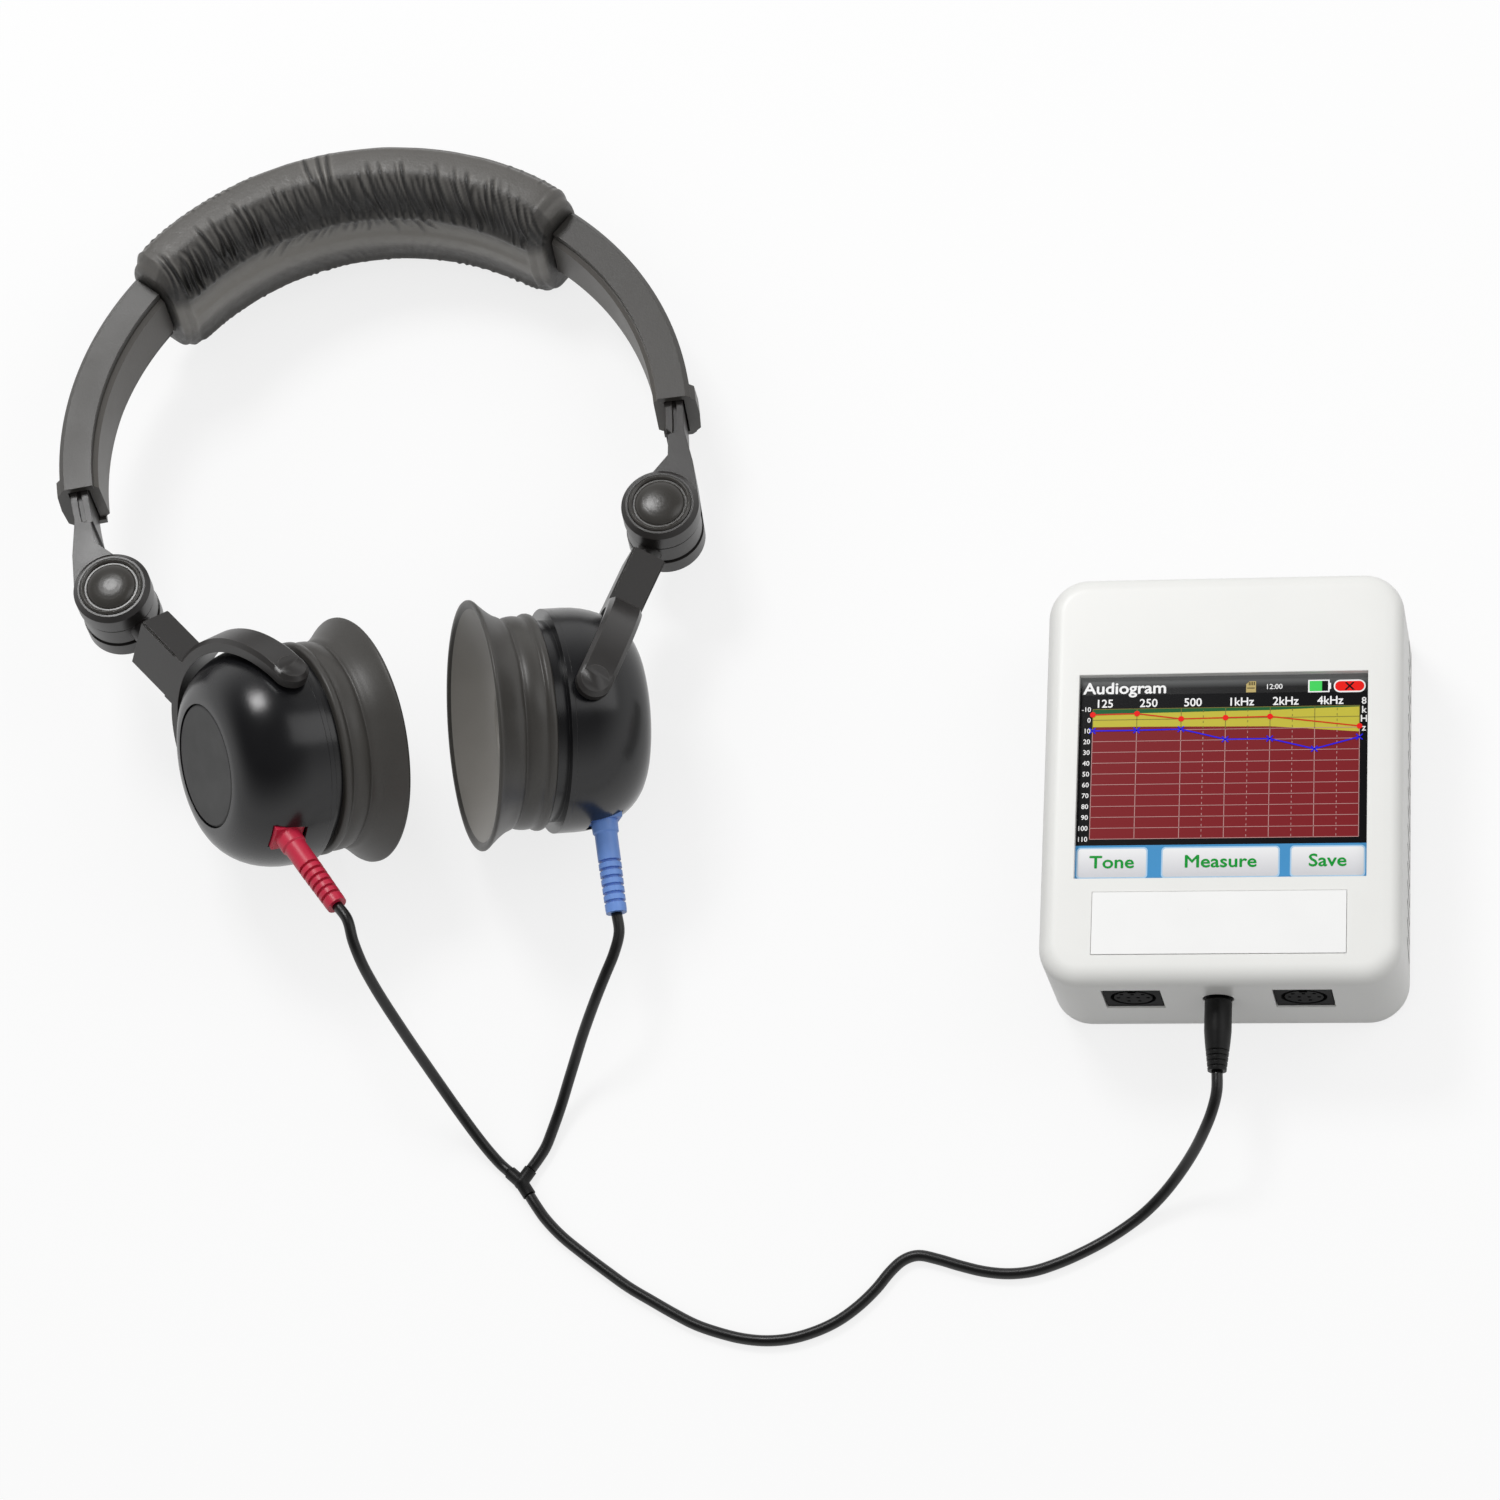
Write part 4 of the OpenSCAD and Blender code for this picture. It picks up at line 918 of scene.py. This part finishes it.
def make_picture():
    pic = Picture()
    black = lit("pic_black", srgb(6, 6, 9))
    white = lit("pic_white", srgb(245, 245, 245))
    bar = faded("pic_title_bar", srgb(120, 122, 122), srgb(8, 8, 10), 26.5, 23.4)
    green_band = lit("pic_green_band", srgb(28, 96, 52))
    yellow = lit("pic_yellow_band", srgb(196, 186, 62))
    red_field = lit("pic_red_field", srgb(128, 30, 36))
    grid = lit("pic_grid", srgb(190, 142, 140))
    dim_grid = lit("pic_grid_dim", srgb(128, 120, 56))
    red = lit("pic_red", srgb(238, 22, 14))
    brick = lit("pic_red_line", srgb(206, 52, 18))
    blue = lit("pic_blue", srgb(30, 20, 226))
    bar_blue = lit("pic_bar_blue", srgb(70, 146, 200))
    green = lit("pic_word_green", srgb(14, 150, 52))
    charge = lit("pic_charge", srgb(70, 214, 96))
    card = lit("pic_card", srgb(190, 170, 110))
    button = faded("pic_button", srgb(240, 240, 241), srgb(206, 206, 210), -18, -25)
    rim = lit("pic_button_rim", srgb(170, 205, 232))

    pic.box(0, 0, 1, 1, 0, black)
    pic.box(0, 0, 1, 0.088, 1, bar)
    pic.words("Audiogram", 0.012, 0.081, 4.2, 3, white, bold=0.1, stretch=1.1)
    for text, column in (("125", 0), ("250", 1), ("500", 2), ("1kHz", 3), ("2kHz", 4),
                         ("4kHz", 5)):
        u = CHART[0] + (CHART[1] - CHART[0]) * column / 6
        pic.words(text, u + 0.008, 0.149, 3.0, 3, white, bold=0.045)
    for k, letter in enumerate("8kHz"):
        pic.words(letter, 0.985, 0.150 + 0.044 * k, 2.5, 3, white, "CENTER", bold=0.04)

    # memory card, clock, battery and close button
    pic.shape([(0.590, 0.030), (0.612, 0.030), (0.612, 0.085), (0.578, 0.085), (0.578, 0.045)],
              3, card)
    for k in range(4):
        pic.box(0.587 + 0.006 * k, 0.034, 0.590 + 0.006 * k, 0.050, 4, black)
    pic.box(0.582, 0.062, 0.608, 0.066, 4, black)
    pic.words("12:00", 0.645, 0.070, 1.9, 3, white, bold=0.02)
    pic.box(0.792, 0.028, 0.866, 0.090, 2, white)
    pic.box(0.797, 0.034, 0.861, 0.084, 3, black)
    pic.box(0.797, 0.034, 0.840, 0.084, 4, charge)
    pic.box(0.866, 0.044, 0.871, 0.074, 2, white)
    pic.round_box(0.880, 0.030, 0.990, 0.092, 1.6, 2, white)
    pic.round_box(0.885, 0.037, 0.985, 0.085, 1.25, 3, red)
    pic.words("X", 0.935, 0.079, 2.7, 4, black, "CENTER", bold=0.1, stretch=1.2)

    # chart: three bands, grid and the two curves
    left, right, top, low = CHART

    def cu(column):
        return left + (right - left) * column / 6

    def cv(level):
        return top + (low - top) * (level + 10) / 120

    green_edge = [(0, -5.5), (1, -6), (2, -6.3), (3, -6.8), (4, -7), (5, -8.2), (6, -9)]
    yellow_edge = [(0, 6.5), (1, 6.6), (2, 7), (3, 7.6), (4, 8), (5, 11), (6, 14)]
    pic.box(left, top, right, low, 1, red_field)
    for (a, p), (b, q) in zip(yellow_edge, yellow_edge[1:]):
        pic.shape([(cu(a), top), (cu(b), top), (cu(b), cv(q)), (cu(a), cv(p))], 2, yellow)
    for (a, p), (b, q) in zip(green_edge, green_edge[1:]):
        pic.shape([(cu(a), top), (cu(b), top), (cu(b), cv(q)), (cu(a), cv(p))], 3, green_band)
    for level in range(-10, 120, 10):
        colour = dim_grid if level < 10 else grid
        pic.stroke([(left, cv(level)), (right, cv(level))], 0.16, 4, colour)
    for column in range(7):
        pic.stroke([(cu(column), cv(10)), (cu(column), low)], 0.18, 4, grid)
        pic.stroke([(cu(column), top), (cu(column), cv(10))], 0.16, 4, dim_grid)
    for column in (2.5, 3.5, 4.5, 5.5):
        for k in range(24):
            v = cv(-8 + 5 * k)
            pic.stroke([(cu(column), v), (cu(column), v + 0.011)], 0.16, 4,
                       dim_grid if k < 4 else grid)
    for level in range(-10, 120, 10):
        pic.words(str(level), left - 0.007, cv(level) + 0.011, 1.75, 3, white, "RIGHT", bold=0.025)
    right_ear = [(0, -5), (1, -5.5), (2, 0), (3, -0.5), (4, -1), (6, 9)]
    left_ear = [(0, 10), (1, 10), (2, 9.5), (3, 19.5), (4, 19.5), (5, 29.5), (6, 19)]
    pic.stroke([(cu(a), cv(b)) for a, b in right_ear], 0.34, 5, brick)
    for a, b in right_ear:
        pic.disc(cu(a), cv(b), 0.72, 7, red)
    pic.stroke([(cu(a), cv(b)) for a, b in left_ear], 0.34, 6, blue)
    for a, b in left_ear:
        u, v = cu(a), cv(b)
        pic.stroke([(u - 0.011, v - 0.014), (u + 0.011, v + 0.014)], 0.3, 7, blue)
        pic.stroke([(u - 0.011, v + 0.014), (u + 0.011, v - 0.014)], 0.3, 7, blue)

    # button bar
    pic.box(0, 0.828, 1, 1, 1, bar_blue)
    for u0, u1, text in ((0.004, 0.250, "Tone"), (0.297, 0.703, "Measure"), (0.738, 0.994, "Save")):
        pic.round_box(u0, 0.838, u1, 0.990, 1.0, 2, rim)
        pic.round_box(u0 + 0.005, 0.845, u1 - 0.005, 0.983, 0.8, 3, button)
        pic.words(text, (u0 + u1) / 2, 0.938, 4.5, 5, green, "CENTER", bold=0.1, stretch=1.15)

    obj = mesh_piece("screen_picture", pic.points, pic.faces, pic.materials, None, "unit",
                     pic.marks, smooth=False)


make_picture()


# ---------------------------------------------------------------- floor and light

FLOOR_HALF = 6000       # mm
FLOOR_DROP = 0.02       # mm below the table's plane, so that nothing lies in it
FLOOR_WHITE = 0.78      # share of the floor's colour that doesn't hang on its light


def make_floor():
    """White to the eye, in mirrors and through glass, where it keeps the object's shadow, and
    dull to all other light, so that it doesn't light the object from below."""
    n = Nodes("floor_white")
    tree = n.tree
    tree.nodes.remove(n.shader)
    out = tree.nodes["Material Output"]
    path = n.add("ShaderNodeLightPath")
    seen = path.outputs["Is Camera Ray"]
    for kind in ("Is Glossy Ray", "Is Transmission Ray"):
        either = n.add("ShaderNodeMath", operation="MAXIMUM")
        n.link(seen, either.inputs[0])
        n.link(path.outputs[kind], either.inputs[1])
        seen = either.outputs[0]
    plain, dull = n.add("ShaderNodeBsdfDiffuse"), n.add("ShaderNodeBsdfDiffuse")
    plain.inputs["Color"].default_value = (0.9, 0.9, 0.9, 1)
    dull.inputs["Color"].default_value = (0.3, 0.3, 0.3, 1)
    glow = n.add("ShaderNodeEmission")
    glow.inputs["Color"].default_value = (1, 1, 1, 1)
    glow.inputs["Strength"].default_value = 1.0
    pale = n.add("ShaderNodeMixShader")
    pale.inputs[0].default_value = FLOOR_WHITE
    n.link(plain.outputs[0], pale.inputs[1])
    n.link(glow.outputs[0], pale.inputs[2])
    mix = n.add("ShaderNodeMixShader")
    n.link(seen, mix.inputs[0])
    n.link(dull.outputs[0], mix.inputs[1])
    n.link(pale.outputs[0], mix.inputs[2])
    n.link(mix.outputs[0], out.inputs["Surface"])
    corners = [(x * FLOOR_HALF, y * FLOOR_HALF, 0)
               for x, y in ((-1, -1), (1, -1), (1, 1), (-1, 1))]
    floor = mesh_piece("floor", corners, [(0, 1, 2, 3)], [n.material], smooth=False)
    floor.location.z = -FLOOR_DROP * MM


def make_world():
    """White to the camera, a soft sky for light, and a studio's dark ceiling in reflections."""
    world = bpy.data.worlds.new("studio")
    SCENE.world = world
    world.use_nodes = True
    tree = world.node_tree
    tree.nodes.clear()

    def add(kind, **settings):
        node = tree.nodes.new(kind)
        for key, value in settings.items():
            setattr(node, key, value)
        return node

    out, back = add("ShaderNodeOutputWorld"), add("ShaderNodeBackground")
    path, place = add("ShaderNodeLightPath"), add("ShaderNodeTexCoord")
    height = add("ShaderNodeSeparateXYZ")
    tree.links.new(place.outputs["Generated"], height.inputs[0])

    def by_height(low, high, at_low, at_high):
        node = add("ShaderNodeMapRange", interpolation_type="SMOOTHSTEP")
        for key, number in (("From Min", low), ("From Max", high), ("To Min", at_low),
                            ("To Max", at_high)):
            node.inputs[key].default_value = number
        tree.links.new(height.outputs["Z"], node.inputs["Value"])
        return node.outputs["Result"]

    shine = add("ShaderNodeMix", data_type="FLOAT")
    tree.links.new(path.outputs["Is Glossy Ray"], shine.inputs[0])
    tree.links.new(by_height(-0.1, 1.0, 0.14, 0.72), shine.inputs[2])
    tree.links.new(by_height(0.05, 0.8, 1.0, 0.08), shine.inputs[3])
    seen = add("ShaderNodeMath", operation="MAXIMUM")
    tree.links.new(path.outputs["Is Camera Ray"], seen.inputs[0])
    tree.links.new(path.outputs["Is Transmission Ray"], seen.inputs[1])
    level = add("ShaderNodeMix", data_type="FLOAT")
    level.inputs[3].default_value = 1.0
    tree.links.new(seen.outputs[0], level.inputs[0])
    tree.links.new(shine.outputs[0], level.inputs[2])
    tree.links.new(level.outputs[0], back.inputs["Strength"])
    back.inputs["Color"].default_value = (1, 1, 1, 1)
    tree.links.new(back.outputs[0], out.inputs["Surface"])


def make_lamp(name, at, target, size, watts):
    data = bpy.data.lights.new(name, "AREA")
    data.shape = "RECTANGLE"
    data.size, data.size_y = size
    data.energy = watts
    lamp = bpy.data.objects.new(name, data)
    lamp.location = at
    lamp.rotation_euler = (Vector(target) - Vector(at)).to_track_quat("-Z", "Y").to_euler()
    SCENE.collection.objects.link(lamp)


make_floor()
make_world()
make_lamp("key", (-0.42, 0.62, 1.0), (-0.15, 0.0, 0.0), (0.34, 0.3), 5.6)
make_lamp("fill", (0.8, 0.3, 0.9), (-0.05, 0.0, 0.0), (0.7, 0.9), 2.7)

SCENE.view_settings.view_transform = "Standard"


# ---------------------------------------------------------------- update

bpy.context.view_layer.update()
